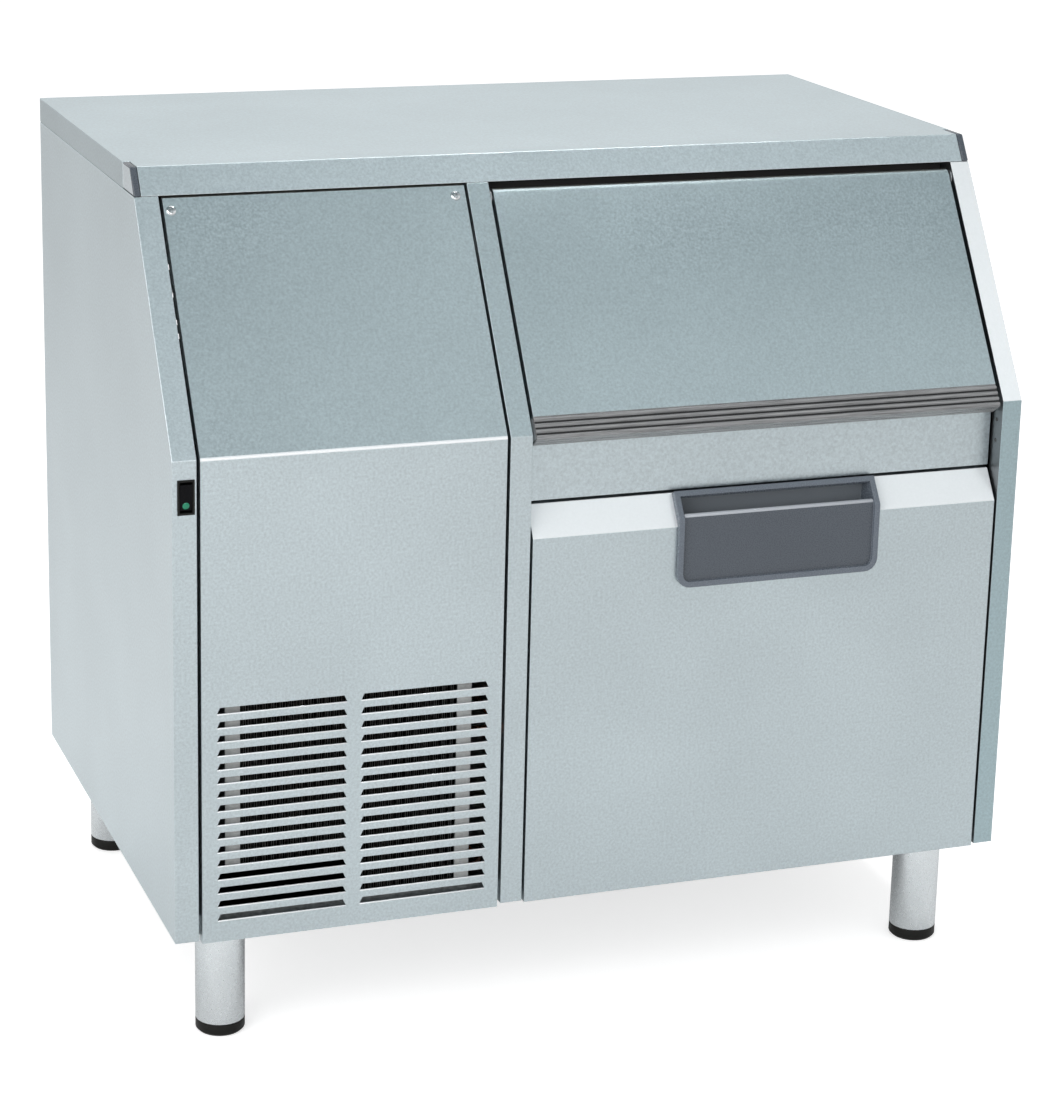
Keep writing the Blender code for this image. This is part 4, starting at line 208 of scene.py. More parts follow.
@dataclass(frozen=True)
class Finish:
    """Worked surface: its colour, its gloss, and the grain and clouds that vary both.

    The grain is fine noise with its own scale on each axis. It shades the colour by
    grain_shade, the roughness by grain_gloss and the height by grain_depth. The clouds
    are slow noise that shades the colour by cloud_shade, as handling and rolling do.
    """

    colour: Triple
    metallic: float
    roughness: float
    grain: Grain = Grain.SPECKLE
    grain_shade: float = 0.06
    grain_gloss: float = 0.06
    grain_depth: float = 0.00002
    cloud_shade: float = 0.03
    cloud_size: float = 0.25
    coat: float = 0.0
    specular: float = 0.5

    def material(self, name: str) -> bpy.types.Material:
        """Builds the finish as a material.

        Args:
            name: The material's name.

        Returns:
            The material.
        """
        sheet = NodeSheet(name)
        fine = sheet.noise(self.grain.value)
        slow = sheet.noise((1.0 / self.cloud_size,) * 3, detail=2.0)
        dark = [c * (1.0 - self.grain_shade) for c in self.colour]
        light = [min(1.0, c * (1.0 + self.grain_shade)) for c in self.colour]
        grained = sheet.tint(sheet.spread(fine, 0.0, 1.0), dark, light)
        clouds = sheet.add("ShaderNodeMix", data_type="RGBA", blend_type="MULTIPLY")
        clouds.inputs[0].default_value = 1.0
        sheet.join(grained, clouds.inputs[6])
        shade = sheet.spread(slow, 1.0 - self.cloud_shade, 1.0)
        sheet.join(shade, clouds.inputs[7])
        sheet.join(clouds.outputs[2], sheet.shader.inputs["Base Color"])
        gloss = sheet.spread(
            fine, self.roughness - self.grain_gloss, self.roughness + self.grain_gloss
        )
        sheet.join(gloss, sheet.shader.inputs["Roughness"])
        sheet.shader.inputs["Metallic"].default_value = self.metallic
        sheet.shader.inputs["Coat Weight"].default_value = self.coat
        sheet.shader.inputs["Specular IOR Level"].default_value = self.specular
        sheet.bump(fine, self.grain_depth)
        return sheet.material


SATIN_STEEL = Finish(
    (0.588, 0.664, 0.692), 1.0, 0.37, Grain.SATIN,
    grain_shade=0.115, grain_gloss=0.06, grain_depth=0.000016, cloud_shade=0.06, cloud_size=0.16,
)
# Painted highlight: a pale, part-metal copy of the steel, for folds, bevels and lips that catch
# the light.
FOLD_HIGHLIGHT_STEEL = Finish(
    (0.900, 0.930, 0.950), 0.35, 0.24, Grain.SATIN,
    grain_shade=0.02, grain_gloss=0.03, grain_depth=0.000004, cloud_shade=0.02, cloud_size=0.16,
)
# Painted light: a lighter copy of the satin steel for the outer sides of the side panels.
SIDE_LIGHT_STEEL = Finish(
    (0.705, 0.785, 0.815), 1.0, 0.37, Grain.SATIN,
    grain_shade=0.09, grain_gloss=0.05, grain_depth=0.000014, cloud_shade=0.05, cloud_size=0.16,
)
# Painted shade: a darker copy of the satin steel for the front faces of the right panel's post.
POST_SHADE_STEEL = Finish(
    (0.430, 0.545, 0.578), 1.0, 0.37, Grain.SATIN,
    grain_shade=0.115, grain_gloss=0.06, grain_depth=0.000016, cloud_shade=0.06, cloud_size=0.16,
)
# Painted light: a lighter copy of the satin steel for the worktop's sloped nose, the left panel's
# slope and the outer sides of the nose caps.
NOSE_LIGHT_STEEL = Finish(
    (0.760, 0.820, 0.850), 1.0, 0.37, Grain.SATIN,
    grain_shade=0.10, grain_gloss=0.04, grain_depth=0.000014, cloud_shade=0.04, cloud_size=0.16,
)
TUBE_STEEL = Finish(
    (0.80, 0.84, 0.86), 1.0, 0.26, Grain.SATIN,
    grain_shade=0.03, grain_gloss=0.04, grain_depth=0.000003, cloud_shade=0.03, cloud_size=0.10,
)
AUGER_STEEL = Finish(
    (0.66, 0.67, 0.68), 1.0, 0.22, Grain.ALONG_Z,
    grain_shade=0.04, grain_gloss=0.06, grain_depth=0.000004, cloud_shade=0.04, cloud_size=0.05,
)
ZINC_STEEL = Finish(
    (0.52, 0.53, 0.54), 1.0, 0.42, Grain.COARSE,
    grain_shade=0.16, grain_gloss=0.12, grain_depth=0.000006, cloud_shade=0.10, cloud_size=0.06,
)
SLATE_PLASTIC = Finish(
    (0.078, 0.092, 0.111), 0.0, 0.28, Grain.SPECKLE,
    grain_shade=0.06, grain_gloss=0.05, grain_depth=0.00003, cloud_shade=0.05, cloud_size=0.12,
)
BLACK_PLASTIC = Finish(
    (0.008, 0.008, 0.007), 0.0, 0.42, Grain.SPECKLE,
    grain_shade=0.20, grain_gloss=0.08, grain_depth=0.00005, cloud_shade=0.12, cloud_size=0.03,
    specular=0.25,
)
GRIP_PLASTIC = Finish(
    (0.240, 0.245, 0.250), 0.0, 0.30, Grain.ALONG_X,
    grain_shade=0.42, grain_gloss=0.10, grain_depth=0.00002, cloud_shade=0.08, cloud_size=0.05,
)
ROCKER_PLASTIC = Finish(
    (0.006, 0.006, 0.007), 0.0, 0.24, Grain.SPARK,
    grain_shade=0.15, grain_gloss=0.04, grain_depth=0.00001, cloud_shade=0.08, cloud_size=0.02,
    specular=0.06,
)
LINER_PLASTIC = Finish(
    (0.78, 0.79, 0.80), 0.0, 0.34, Grain.COARSE,
    grain_shade=0.02, grain_gloss=0.05, grain_depth=0.00010, cloud_shade=0.05, cloud_size=0.12,
)
WHITE_PLASTIC = Finish(
    (0.80, 0.80, 0.77), 0.0, 0.30, Grain.SPARK,
    grain_shade=0.02, grain_gloss=0.05, grain_depth=0.00002, cloud_shade=0.06, cloud_size=0.04,
)
GREY_RUBBER = Finish(
    (0.20, 0.20, 0.21), 0.0, 0.62, Grain.SPECKLE,
    grain_shade=0.10, grain_gloss=0.07, grain_depth=0.00003, cloud_shade=0.12, cloud_size=0.03,
)
COPPER = Finish(
    (0.78, 0.37, 0.21), 1.0, 0.28, Grain.COARSE,
    grain_shade=0.14, grain_gloss=0.10, grain_depth=0.00001, cloud_shade=0.35, cloud_size=0.035,
)
BLACK_PAINT = Finish(
    (0.014, 0.014, 0.015), 0.0, 0.30, Grain.COARSE,
    grain_shade=0.10, grain_gloss=0.06, grain_depth=0.00012, cloud_shade=0.12, cloud_size=0.05,
    coat=0.4,
)
CAST_GREY = Finish(
    (0.33, 0.34, 0.35), 0.9, 0.50, Grain.COARSE,
    grain_shade=0.16, grain_gloss=0.12, grain_depth=0.00012, cloud_shade=0.10, cloud_size=0.04,
)
# Painted shade: a dark copy of the steel for the recessed jamb wall.
JAMB_SHADE_STEEL = Finish(
    (0.230, 0.245, 0.255), 1.0, 0.42, Grain.SATIN,
    grain_shade=0.10, grain_gloss=0.05, grain_depth=0.000010, cloud_shade=0.06, cloud_size=0.10,
)
# Painted shade: near black for the deep faces of the lid grip's grooves.
GROOVE_SHADE_PLASTIC = Finish(
    (0.010, 0.010, 0.011), 0.0, 0.60, Grain.SPECKLE,
    grain_shade=0.12, grain_gloss=0.08, grain_depth=0.00004, cloud_shade=0.08, cloud_size=0.05,
)
# Painted light: a lighter copy of the slate plastic for the back wall of the pull's pocket.
POCKET_LIGHT_PLASTIC = Finish(
    (0.210, 0.235, 0.262), 0.0, 0.34, Grain.SPECKLE,
    grain_shade=0.06, grain_gloss=0.05, grain_depth=0.00003, cloud_shade=0.05, cloud_size=0.12,
)
# Painted highlight: a lighter copy of the slate plastic for the pull's rim and sides.
RIM_HIGHLIGHT_PLASTIC = Finish(
    (0.125, 0.148, 0.180), 0.0, 0.26, Grain.SPECKLE,
    grain_shade=0.06, grain_gloss=0.05, grain_depth=0.00003, cloud_shade=0.05, cloud_size=0.12,
    coat=0.3,
)
# Painted highlight: a pale glossy copy of the slate plastic for the pull's rounded lip.
LIP_HIGHLIGHT_PLASTIC = Finish(
    (0.420, 0.450, 0.490), 0.0, 0.18, Grain.SPECKLE,
    grain_shade=0.05, grain_gloss=0.04, grain_depth=0.00001, cloud_shade=0.05, cloud_size=0.12,
    coat=0.6,
)
# Painted light: near white for the condenser frame's front faces, seen through the slots.
END_PLATE_LIGHT_FINISH = Finish(
    (0.86, 0.86, 0.85), 0.0, 0.40, Grain.COARSE,
    grain_shade=0.08, grain_gloss=0.08, grain_depth=0.00004, cloud_shade=0.12, cloud_size=0.05,
)
# Painted shade: near black on the bin's sloped faces, for the dark gap between the worktop's nose
# and the lid.
GAP_SHADE_FINISH = Finish(
    (0.020, 0.020, 0.021), 0.0, 0.75, Grain.COARSE,
    grain_shade=0.25, grain_gloss=0.06, grain_depth=0.00012, cloud_shade=0.15, cloud_size=0.04,
)
FOAM = Finish(
    (0.035, 0.035, 0.037), 0.0, 0.88, Grain.COARSE,
    grain_shade=0.45, grain_gloss=0.05, grain_depth=0.0005, cloud_shade=0.20, cloud_size=0.05,
)


@dataclass(frozen=True)
class FinPack:
    """Aluminium fins on edge, darkened as painted shade, with near-black gaps painted as the
    shade between them; the two alternate along x.
    """

    pitch: float = 0.0022
    # Painted shade: the edges are darkened aluminium and the gaps near black.
    edge: Triple = (0.19, 0.18, 0.17)
    gap: Triple = (0.008, 0.008, 0.008)
    depth: float = 0.0006

    def material(self, name: str) -> bpy.types.Material:
        """Builds the fins from a wave of the given pitch on x, roughened by fine noise.

        Args:
            name: The material's name.

        Returns:
            The material.
        """
        sheet = NodeSheet(name)
        wave = sheet.add(
            "ShaderNodeTexWave", wave_type="BANDS", bands_direction="X", Scale=1.0,
            Distortion=0.35, Detail=1.0,
        )
        turns = FULL_TURN / (20.0 * self.pitch)
        sheet.join(sheet.place((turns, turns * 0.2, turns * 0.2)), wave.inputs["Vector"])
        edge = sheet.spread(wave.outputs["Fac"], 0.0, 1.0)
        sheet.join(sheet.tint(edge, self.gap, self.edge), sheet.shader.inputs["Base Color"])
        rough = sheet.spread(sheet.noise(Grain.COARSE.value), 0.34, 0.52)
        sheet.join(rough, sheet.shader.inputs["Roughness"])
        sheet.shader.inputs["Metallic"].default_value = 1.0
        sheet.bump(edge, self.depth, 0.8)
        return sheet.material


@dataclass(frozen=True)
class Timber:
    """Chipboard that stiffens the worktop: pale chips pressed flat."""

    light: Triple = (0.50, 0.36, 0.21)
    dark: Triple = (0.26, 0.17, 0.09)

    def material(self, name: str) -> bpy.types.Material:
        """Builds chips as Voronoi cells that are wide on x and y and thin on z.

        Args:
            name: The material's name.

        Returns:
            The material.
        """
        sheet = NodeSheet(name)
        cells = sheet.add("ShaderNodeTexVoronoi", Scale=1.0)
        sheet.join(sheet.place((160.0, 240.0, 700.0)), cells.inputs["Vector"])
        grain = sheet.spread(cells.outputs["Distance"], 0.0, 1.0, 0.1)
        sheet.join(sheet.tint(grain, self.light, self.dark), sheet.shader.inputs["Base Color"])
        rough = sheet.spread(cells.outputs["Distance"], 0.72, 0.90, 0.1)
        sheet.join(rough, sheet.shader.inputs["Roughness"])
        sheet.bump(cells.outputs["Distance"], 0.0003)
        return sheet.material


@dataclass(frozen=True)
class LampGlass:
    """Green lens of the running lamp: clear-coated, with a faint glow of its own."""

    colour: Triple = (0.002, 0.130, 0.068)
    glow: float = 0.45

    def material(self, name: str) -> bpy.types.Material:
        """Builds the lens with fine prisms in its colour and its height.

        Args:
            name: The material's name.

        Returns:
            The material.
        """
        sheet = NodeSheet(name)
        prism = sheet.noise((1400.0, 1400.0, 1400.0), detail=1.0)
        shade = sheet.spread(prism, 0.0, 1.0)
        light = [c * 1.25 for c in self.colour]
        sheet.join(sheet.tint(shade, self.colour, light), sheet.shader.inputs["Base Color"])
        sheet.join(sheet.spread(prism, 0.10, 0.20), sheet.shader.inputs["Roughness"])
        sheet.shader.inputs["Coat Weight"].default_value = 0.1
        sheet.shader.inputs["Emission Color"].default_value = (*self.colour, 1.0)
        sheet.shader.inputs["Emission Strength"].default_value = self.glow
        sheet.bump(prism, 0.00008)
        return sheet.material


# Shapes


class Shapes:
    """Surfaces worked out as whole numpy arrays and put into meshes."""

    @staticmethod
    def grid(points: np.ndarray, wrap: bool = True, ends: bool = True) -> Tuple[np.ndarray, list]:
        """Joins a grid of points into quads, and closes its first and last row.

        Row i and column j meet row i + 1 and column j + 1; with wrap, the last column
        meets the first, and each end row is closed by one flat face.

        Args:
            points: Array of rows by columns by 3.
            wrap: Whether each row is a closed ring.
            ends: Whether the first and last ring are closed.

        Returns:
            The flat list of points and the faces.
        """
        rows, columns = points.shape[:2]
        across = columns if wrap else columns - 1
        i, j = np.meshgrid(np.arange(rows - 1), np.arange(across), indexing="ij")
        k = (j + 1) % columns
        quads = np.stack(
            [i * columns + j, i * columns + k, (i + 1) * columns + k, (i + 1) * columns + j], -1
        )
        faces = quads.reshape(-1, 4).tolist()
        if wrap and ends:
            faces.append(list(range(columns))[::-1])
            faces.append(list(range((rows - 1) * columns, rows * columns)))
        return points.reshape(-1, 3), faces

    @staticmethod
    def rounded(
        profile: Sequence[Tuple[float, float]], radius: float, steps: int = 4
    ) -> np.ndarray:
        """Rounds the corners of an open profile with quadratic curves.

        Each inner corner c gives the points (1-t)^2 a + 2t(1-t) c + t^2 b, where a and b lie
        on its two sides at the radius, or at half a shorter side.

        Args:
            profile: Corners as (radius, height).
            radius: Distance from each corner at which the rounding starts.
            steps: Spans of each rounding.

        Returns:
            The rounded profile, one row a point.
        """
        corners = np.array(profile, float)
        out: List[np.ndarray] = [corners[0][None]]
        t = np.linspace(0.0, 1.0, steps + 1)[:, None]
        for before, corner, after in zip(corners, corners[1:], corners[2:]):
            sides = [before - corner, after - corner]
            lengths = [np.linalg.norm(side) for side in sides]
            a, b = [
                corner + side / length * min(radius, length * 0.48)
                for side, length in zip(sides, lengths)
            ]
            out.append((1 - t) ** 2 * a + 2 * t * (1 - t) * corner + t**2 * b)
        out.append(corners[-1][None])
        return np.concatenate(out)

    @staticmethod
    def turned(profile: np.ndarray, sides: int = 64) -> np.ndarray:
        """Turns a profile of (radius, height) round the z axis: (r cos q, r sin q, h)."""
        angle = np.linspace(0.0, FULL_TURN, sides, endpoint=False)
        ring = np.stack([np.cos(angle), np.sin(angle), np.zeros(sides)], -1)
        height = np.array([0.0, 0.0, 1.0])
        return profile[:, :1, None] * ring[None] + profile[:, 1:, None] * height

    @staticmethod
    def step(value: np.ndarray, edge: float, width: float) -> np.ndarray:
        """Rises smoothly from 0 to 1 over a width about an edge."""
        t = np.clip((value - edge) / width + 0.5, 0.0, 1.0)
        return t * t * (3.0 - 2.0 * t)


@dataclass
class Workshop:
    """Makes pieces, dresses them, and keeps what has been made."""

    materials: Dict[str, bpy.types.Material] = field(default_factory=dict)
    count: int = 0
    merge_new: float = 0.000002
    merge_copy: float = 0.000004
    flat_angle: float = math.radians(0.4)
    sharp_degrees: float = 14.0
    bevel_angle: float = math.radians(24.0)

    def finish(self, name: str, recipe: object) -> bpy.types.Material:
        """Gives the material of a recipe, made once.

        Args:
            name: The material's name.
            recipe: Finish or other class with a material method.

        Returns:
            The material.
        """
        if name not in self.materials:
            self.materials[name] = recipe.material(name)
        return self.materials[name]

    def piece(
        self,
        name: str,
        parts: Sequence[Tuple[np.ndarray, list]],
        body: str,
        slot: str,
        material: bpy.types.Material,
        stands_for: Sequence[str] = (),
        place: Optional[Matrix] = None,
        flat_above: float = 40.0,
    ) -> bpy.types.Object:
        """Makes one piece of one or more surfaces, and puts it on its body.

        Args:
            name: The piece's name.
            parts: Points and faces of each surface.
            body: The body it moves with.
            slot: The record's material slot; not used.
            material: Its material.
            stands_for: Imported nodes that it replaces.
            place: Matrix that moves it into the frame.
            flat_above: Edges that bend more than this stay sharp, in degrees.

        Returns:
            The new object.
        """
        points: List[np.ndarray] = []
        faces: List[List[int]] = []
        start = 0
        for vertices, quads in parts:
            points.append(vertices)
            faces.extend([[index + start for index in quad] for quad in quads])
            start += len(vertices)
        mesh = bpy.data.meshes.new(name)
        mesh.from_pydata(np.concatenate(points).tolist(), [], faces)
        if place is not None:
            mesh.transform(place)
        self.tidy(mesh, self.merge_new)
        return self.dress(name, mesh, body, material, stands_for, flat_above)

    @staticmethod
    def tidy(mesh: bpy.types.Mesh, merge: float, flatten: float = 0.0) -> None:
        """Merges double points, turns the faces outwards and joins flat ones.

        Args:
            mesh: The mesh to change.
            merge: Largest distance between points that become one.
            flatten: Faces that bend less than this angle are joined, in radians.
        """
        for layer in ("custom_normal", "sharp_edge", "sharp_face"):
            if layer in mesh.attributes:
                mesh.attributes.remove(mesh.attributes[layer])
        work = bmesh.new()
        work.from_mesh(mesh)
        bmesh.ops.remove_doubles(work, verts=work.verts, dist=merge)
        if flatten:
            bmesh.ops.dissolve_limit(
                work, angle_limit=flatten, verts=work.verts, edges=work.edges
            )
        bmesh.ops.recalc_face_normals(work, faces=work.faces)
        work.to_mesh(mesh)
        work.free()

    def dress(
        self,
        name: str,
        mesh: bpy.types.Mesh,
        body: str,
        material: bpy.types.Material,
        stands_for: Sequence[str],
        flat_above: float,
    ) -> bpy.types.Object:
        """Links a mesh as a piece with its material and its body."""
        mesh.materials.clear()
        mesh.materials.append(material)
        mesh.polygons.foreach_set("use_smooth", [True] * len(mesh.polygons))
        mesh.set_sharp_from_angle(angle=math.radians(flat_above))
        piece = bpy.data.objects.new(name, mesh)
        bpy.context.scene.collection.objects.link(piece)
        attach(piece, body)
        if stands_for:
            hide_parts(*stands_for)
        self.count += 1
        LOG.info("made %s on %s", name, body)
        return piece

    def softened(
        self, node: str, material: bpy.types.Material, width: float, steps: int = 2
    ) -> bpy.types.Object:
        """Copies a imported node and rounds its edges, as the brake or the mould does.

        Args:
            node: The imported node, which the copy replaces.
            material: The copy's material.
            width: Width of the rounding.
            steps: Spans of the rounding.

        Returns:
            The copy.
        """
        source = frame["nodes"][node]
        mesh = source.data.copy()
        mesh.name = f"{node}_rounded"
        self.tidy(mesh, self.merge_copy, self.flat_angle)
        body = source["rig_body"]
        piece = self.dress(
            f"{node}_rounded", mesh, body, material, (node,), self.sharp_degrees
        )
        bevel = piece.modifiers.new("rounding", "BEVEL")
        bevel.width = width
        bevel.segments = steps
        bevel.limit_method = "ANGLE"
        bevel.angle_limit = self.bevel_angle
        bevel.harden_normals = True
        return piece

    @staticmethod
    def reface(
        piece: bpy.types.Object,
        material: bpy.types.Material,
        towards: Vector,
        spread: float = 3.6,
        behind: float = 0.0,
    ) -> None:
        """Gives a second finish to the faces that look one way.

        Args:
            piece: The piece.
            material: The finish of those faces.
            towards: Their normal.
            spread: How far a face may turn from it, in degrees.
            behind: How far a face has to lie behind the foremost of them.
        """
        piece.data.materials.append(material)
        least = math.cos(math.radians(spread))
        chosen = [face for face in piece.data.polygons if face.normal.dot(towards) > least]
        foremost = max((face.center.dot(towards) for face in chosen), default=0.0)
        for face in chosen:
            if face.center.dot(towards) <= foremost - behind:
                face.material_index = len(piece.data.materials) - 1

    def coat(self, node: str, material: bpy.types.Material) -> None:
        """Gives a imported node, whose shape stays, its finish."""
        data = frame["nodes"][node]
        if not data.material_slots:
            data.data.materials.append(material)
        for place in data.material_slots:
            place.material = material
        LOG.info("finished %s", node)


# Sub-assemblies


@dataclass(frozen=True)
class Slope:
    """The sloped upper front: it leaves the front plane at the bend and leans back."""

    front_y: float = -0.2975
    bend_z: float = 0.614
    shoulder_z: float = 0.8385
    setback: float = 0.146

    @property
    def angle(self) -> float:
        """Lean from upright, in radians."""
        return math.atan2(self.setback, self.shoulder_z - self.bend_z)

    def seat(self, x: float, z: float, out: float = 0.0) -> Matrix:
        """Gives a place on the slope with its z axis outwards.

        Args:
            x: Place across.
            z: Height of the place.
            out: Distance in front of the face.

        Returns:
            Matrix from a piece drawn round its own z axis to that place.
        """
        back = (z - self.bend_z) * math.tan(self.angle)
        spot = Vector((x, self.front_y + back, z))
        normal = Vector((0.0, -math.cos(self.angle), math.sin(self.angle)))
        turn = Vector((0.0, 0.0, 1.0)).rotation_difference(normal).to_matrix().to_4x4()
        return Matrix.Translation(spot + normal * out) @ turn


def leaning(angle: float) -> Vector:
    """Gives the normal of a front face that leans back by an angle."""
    return Vector((0.0, -math.cos(angle), math.sin(angle)))


def facing(spot: Triple, direction: Triple) -> Matrix:
    """Gives the matrix that lays a piece drawn round +Z along a direction at a place.

    Args:
        spot: Where the piece's origin goes.
        direction: Where its z axis points.

    Returns:
        The matrix.
    """
    turn = Vector((0.0, 0.0, 1.0)).rotation_difference(Vector(direction))
    return Matrix.Translation(Vector(spot)) @ turn.to_matrix().to_4x4()


@dataclass
class Fastener:
    """Screw or rivet with a rounded head, and a cross recess if it is a screw."""

    radius: float = 0.0052
    height: float = 0.0024
    recess: float = 0.0016
    arm: float = 0.0030
    slot: float = 0.0014
    rings: int = 22
    sides: int = 72

    def shape(self) -> Tuple[np.ndarray, list]:
        """Works out the head: h(r) = height * (1 - (r / R)^2)^0.45, less the recess.

        The recess is a cross of two slots with smooth walls, deepest in the middle. Two
        more rings carry the rim down to the sheet and in below it.

        Returns:
            Points and faces.
        """
        share = np.linspace(0.02, 1.0, self.rings)
        angle = np.linspace(0.0, FULL_TURN, self.sides, endpoint=False)
        r, q = np.meshgrid(share * self.radius, angle, indexing="ij")
        x, y = r * np.cos(q), r * np.sin(q)
        z = self.height * np.clip(1.0 - (r / self.radius) ** 2.6, 0.0, 1.0) ** 0.45
        if self.recess:
            edge = 0.00035
            wide = 1.0 - Shapes.step(np.abs(x), self.slot / 2, edge)
            high = 1.0 - Shapes.step(np.abs(y), self.slot / 2, edge)
            reach_x = 1.0 - Shapes.step(np.abs(x), self.arm, edge)
            reach_y = 1.0 - Shapes.step(np.abs(y), self.arm, edge)
            z = z - self.recess * np.maximum(wide * reach_y, high * reach_x)
        rows = np.stack([x, y, z], -1)
        skirt = rows[-1:].copy()
        skirt[..., 2] = -0.0002
        return Shapes.grid(np.concatenate([rows, skirt]))

    def fit(
        self,
        shop: Workshop,
        name: str,
        body: str,
        slot: str,
        seats: Sequence[Matrix],
        finish: Optional[Finish] = None,
    ) -> None:
        """Puts a head on each seat, as one piece.

        Args:
            shop: The workshop.
            name: The piece's name.
            body: The body it rides on.
            slot: The record's material slot.
            seats: One matrix for each head.
            finish: The heads' finish, bright steel if none is given.
        """
        points, faces = self.shape()
        flat = np.concatenate([points, np.ones((len(points), 1))], 1)
        parts = [((flat @ np.array(seat).T)[:, :3], faces) for seat in seats]
        steel = shop.finish(f"{name}_finish", finish or AUGER_STEEL)
        shop.piece(name, parts, body, slot, steel)


@dataclass
class Cabinet:
    """Outer sheets: side panels, posts, worktop, service panel, rail, base and back."""

    edge: float = 0.0007
    bend: float = 0.0016
    cap_edge: float = 0.0012
    screw_lift: float = 0.0001
    fold_spread: float = 3.0
    slope: Slope = field(default_factory=Slope)
    screws: Tuple[Tuple[float, float], ...] = ((-0.4155, 0.8255), (-0.1258, 0.8275))
    rivet_x: float = 0.4284
    rivet_depth: float = 0.0115
    rivet_heights: Tuple[float, ...] = (0.5700, 0.5920)
    rear_y: float = 0.2745
    rear_screws: Tuple[Tuple[float, float], ...] = (
        (-0.425, 0.150), (-0.425, 0.480), (-0.425, 0.815), (0.0, 0.150), (0.0, 0.815),
        (0.425, 0.150), (0.425, 0.480), (0.425, 0.815),
    )

    def build(self, shop: Workshop) -> None:
        """Dresses the sheets and adds their screws and rivets."""
        flat = shop.finish("satin_steel", SATIN_STEEL)
        bright = shop.finish("fold_painted_highlight", FOLD_HIGHLIGHT_STEEL)
        nose = shop.finish("nose_steel_painted_light", NOSE_LIGHT_STEEL)
        wide = shop.finish("side_steel_painted_light", SIDE_LIGHT_STEEL)
        for node in ("left_side_panel", "right_side_panel", "centre_post"):
            sheet = shop.softened(node, flat, self.edge)
            if node == "right_side_panel":
                # Painted highlight on the right panel's slope flange.
                shop.reface(sheet, bright, leaning(self.slope.angle))
                # Painted shade on the right panel's faces that look left: the jamb wall and the
                # panel's inside.
                jamb = shop.finish("jamb_steel_painted_shade", JAMB_SHADE_STEEL)
                shop.reface(sheet, jamb, Vector((-1.0, 0.0, 0.0)))
                # Painted light on the right panel's outer side.
                shop.reface(sheet, wide, Vector((1.0, 0.0, 0.0)))
                # Painted shade on the front faces of the right post.
                post = shop.finish("post_steel_painted_shade", POST_SHADE_STEEL)
                shop.reface(sheet, post, Vector((0.0, -1.0, 0.0)))
            if node == "left_side_panel":
                # Painted light on the left panel's outer side.
                shop.reface(sheet, wide, Vector((-1.0, 0.0, 0.0)))
                # Painted light on the left panel's slope.
                shop.reface(sheet, nose, leaning(self.slope.angle))
        shop.softened("front_rail", flat, self.edge)
        panel = shop.softened("service_panel", flat, self.edge)
        # Painted highlight on the faces of the service panel's bend.
        half = self.slope.angle / 2.0
        shop.reface(panel, bright, leaning(half), math.degrees(half) - self.fold_spread)
        worktop = shop.softened("worktop", flat, self.bend, 3)
        # Painted light on the worktop's sloped nose.
        shop.reface(worktop, nose, leaning(self.slope.angle))
        zinc = shop.finish("zinc_steel", ZINC_STEEL)
        shop.softened("rear_panel", zinc, self.edge)
        shop.coat("base_tray", zinc)
        shop.coat("worktop_board", shop.finish("board", Timber()))
        slate = shop.finish("slate_plastic", SLATE_PLASTIC)
        for hand, side in (("left", -1.0), ("right", 1.0)):
            cap = shop.softened(f"nose_cap_{hand}", slate, self.cap_edge, 3)
            # Painted light: the caps' outer sides take the lighter nose steel.
            shop.reface(cap, nose, Vector((side, 0.0, 0.0)))
        seats = [self.slope.seat(x, z, self.screw_lift) for x, z in self.screws]
        Fastener().fit(shop, "panel_screws", "cabinet", "satin_steel", seats)
        depth = self.slope.front_y + self.rivet_depth
        sides = [facing((self.rivet_x, depth, z), (-1.0, 0.0, 0.0)) for z in self.rivet_heights]
        rivet = Fastener(radius=0.0021, height=0.0009, recess=0.0, rings=8, sides=32)
        rivet.fit(shop, "jamb_rivets", "cabinet", "satin_steel", sides, BLACK_PAINT)
        backs = [facing((x, self.rear_y, z), (0.0, 1.0, 0.0)) for x, z in self.rear_screws]
        Fastener(radius=0.004).fit(shop, "rear_screws", "cabinet", "zinc_steel", backs)


@dataclass
class Louvres:
    """Pressed lips under the air slots of the service panel, finished with a painted highlight.
    """

    columns: Tuple[Tuple[float, float], ...] = ((-0.4073, -0.2760), (-0.2617, -0.1295))
    rows: int = 16
    pitch: float = 0.01437
    low_z: float = 0.1425
    front_y: float = -0.2975
    lip: float = 0.00075
    drop: float = 0.0004
    sides: int = 12

    def bead(self, left: float, right: float, z: float) -> Tuple[np.ndarray, list]:
        """Works out one lip: a round bead along x, sunk half into the sheet's face.

        Args:
            left: Where it starts.
            right: Where it ends.
            z: Height of its middle.

        Returns:
            Points and faces.
        """
        x = np.array([left, left + self.lip, right - self.lip, right])
        radius = self.lip * np.array([0.2, 1.0, 1.0, 0.2])
        turn = np.linspace(0.0, FULL_TURN, self.sides, endpoint=False)
        across = radius[:, None] * np.cos(turn)[None] + self.front_y
        up = radius[:, None] * np.sin(turn)[None] + z
        along = np.broadcast_to(x[:, None], across.shape)
        return Shapes.grid(np.stack([along, across, up], -1))

    def build(self, shop: Workshop) -> None:
        """Makes all the lips as one piece."""
        beads = [
            self.bead(left, right, self.low_z + self.pitch * row - self.drop)
            for left, right in self.columns
            for row in range(self.rows)
        ]
        # The lips take the painted highlight finish.
        steel = shop.finish("fold_painted_highlight", FOLD_HIGHLIGHT_STEEL)
        shop.piece("louvre_lips", beads, "cabinet", "satin_steel", steel)


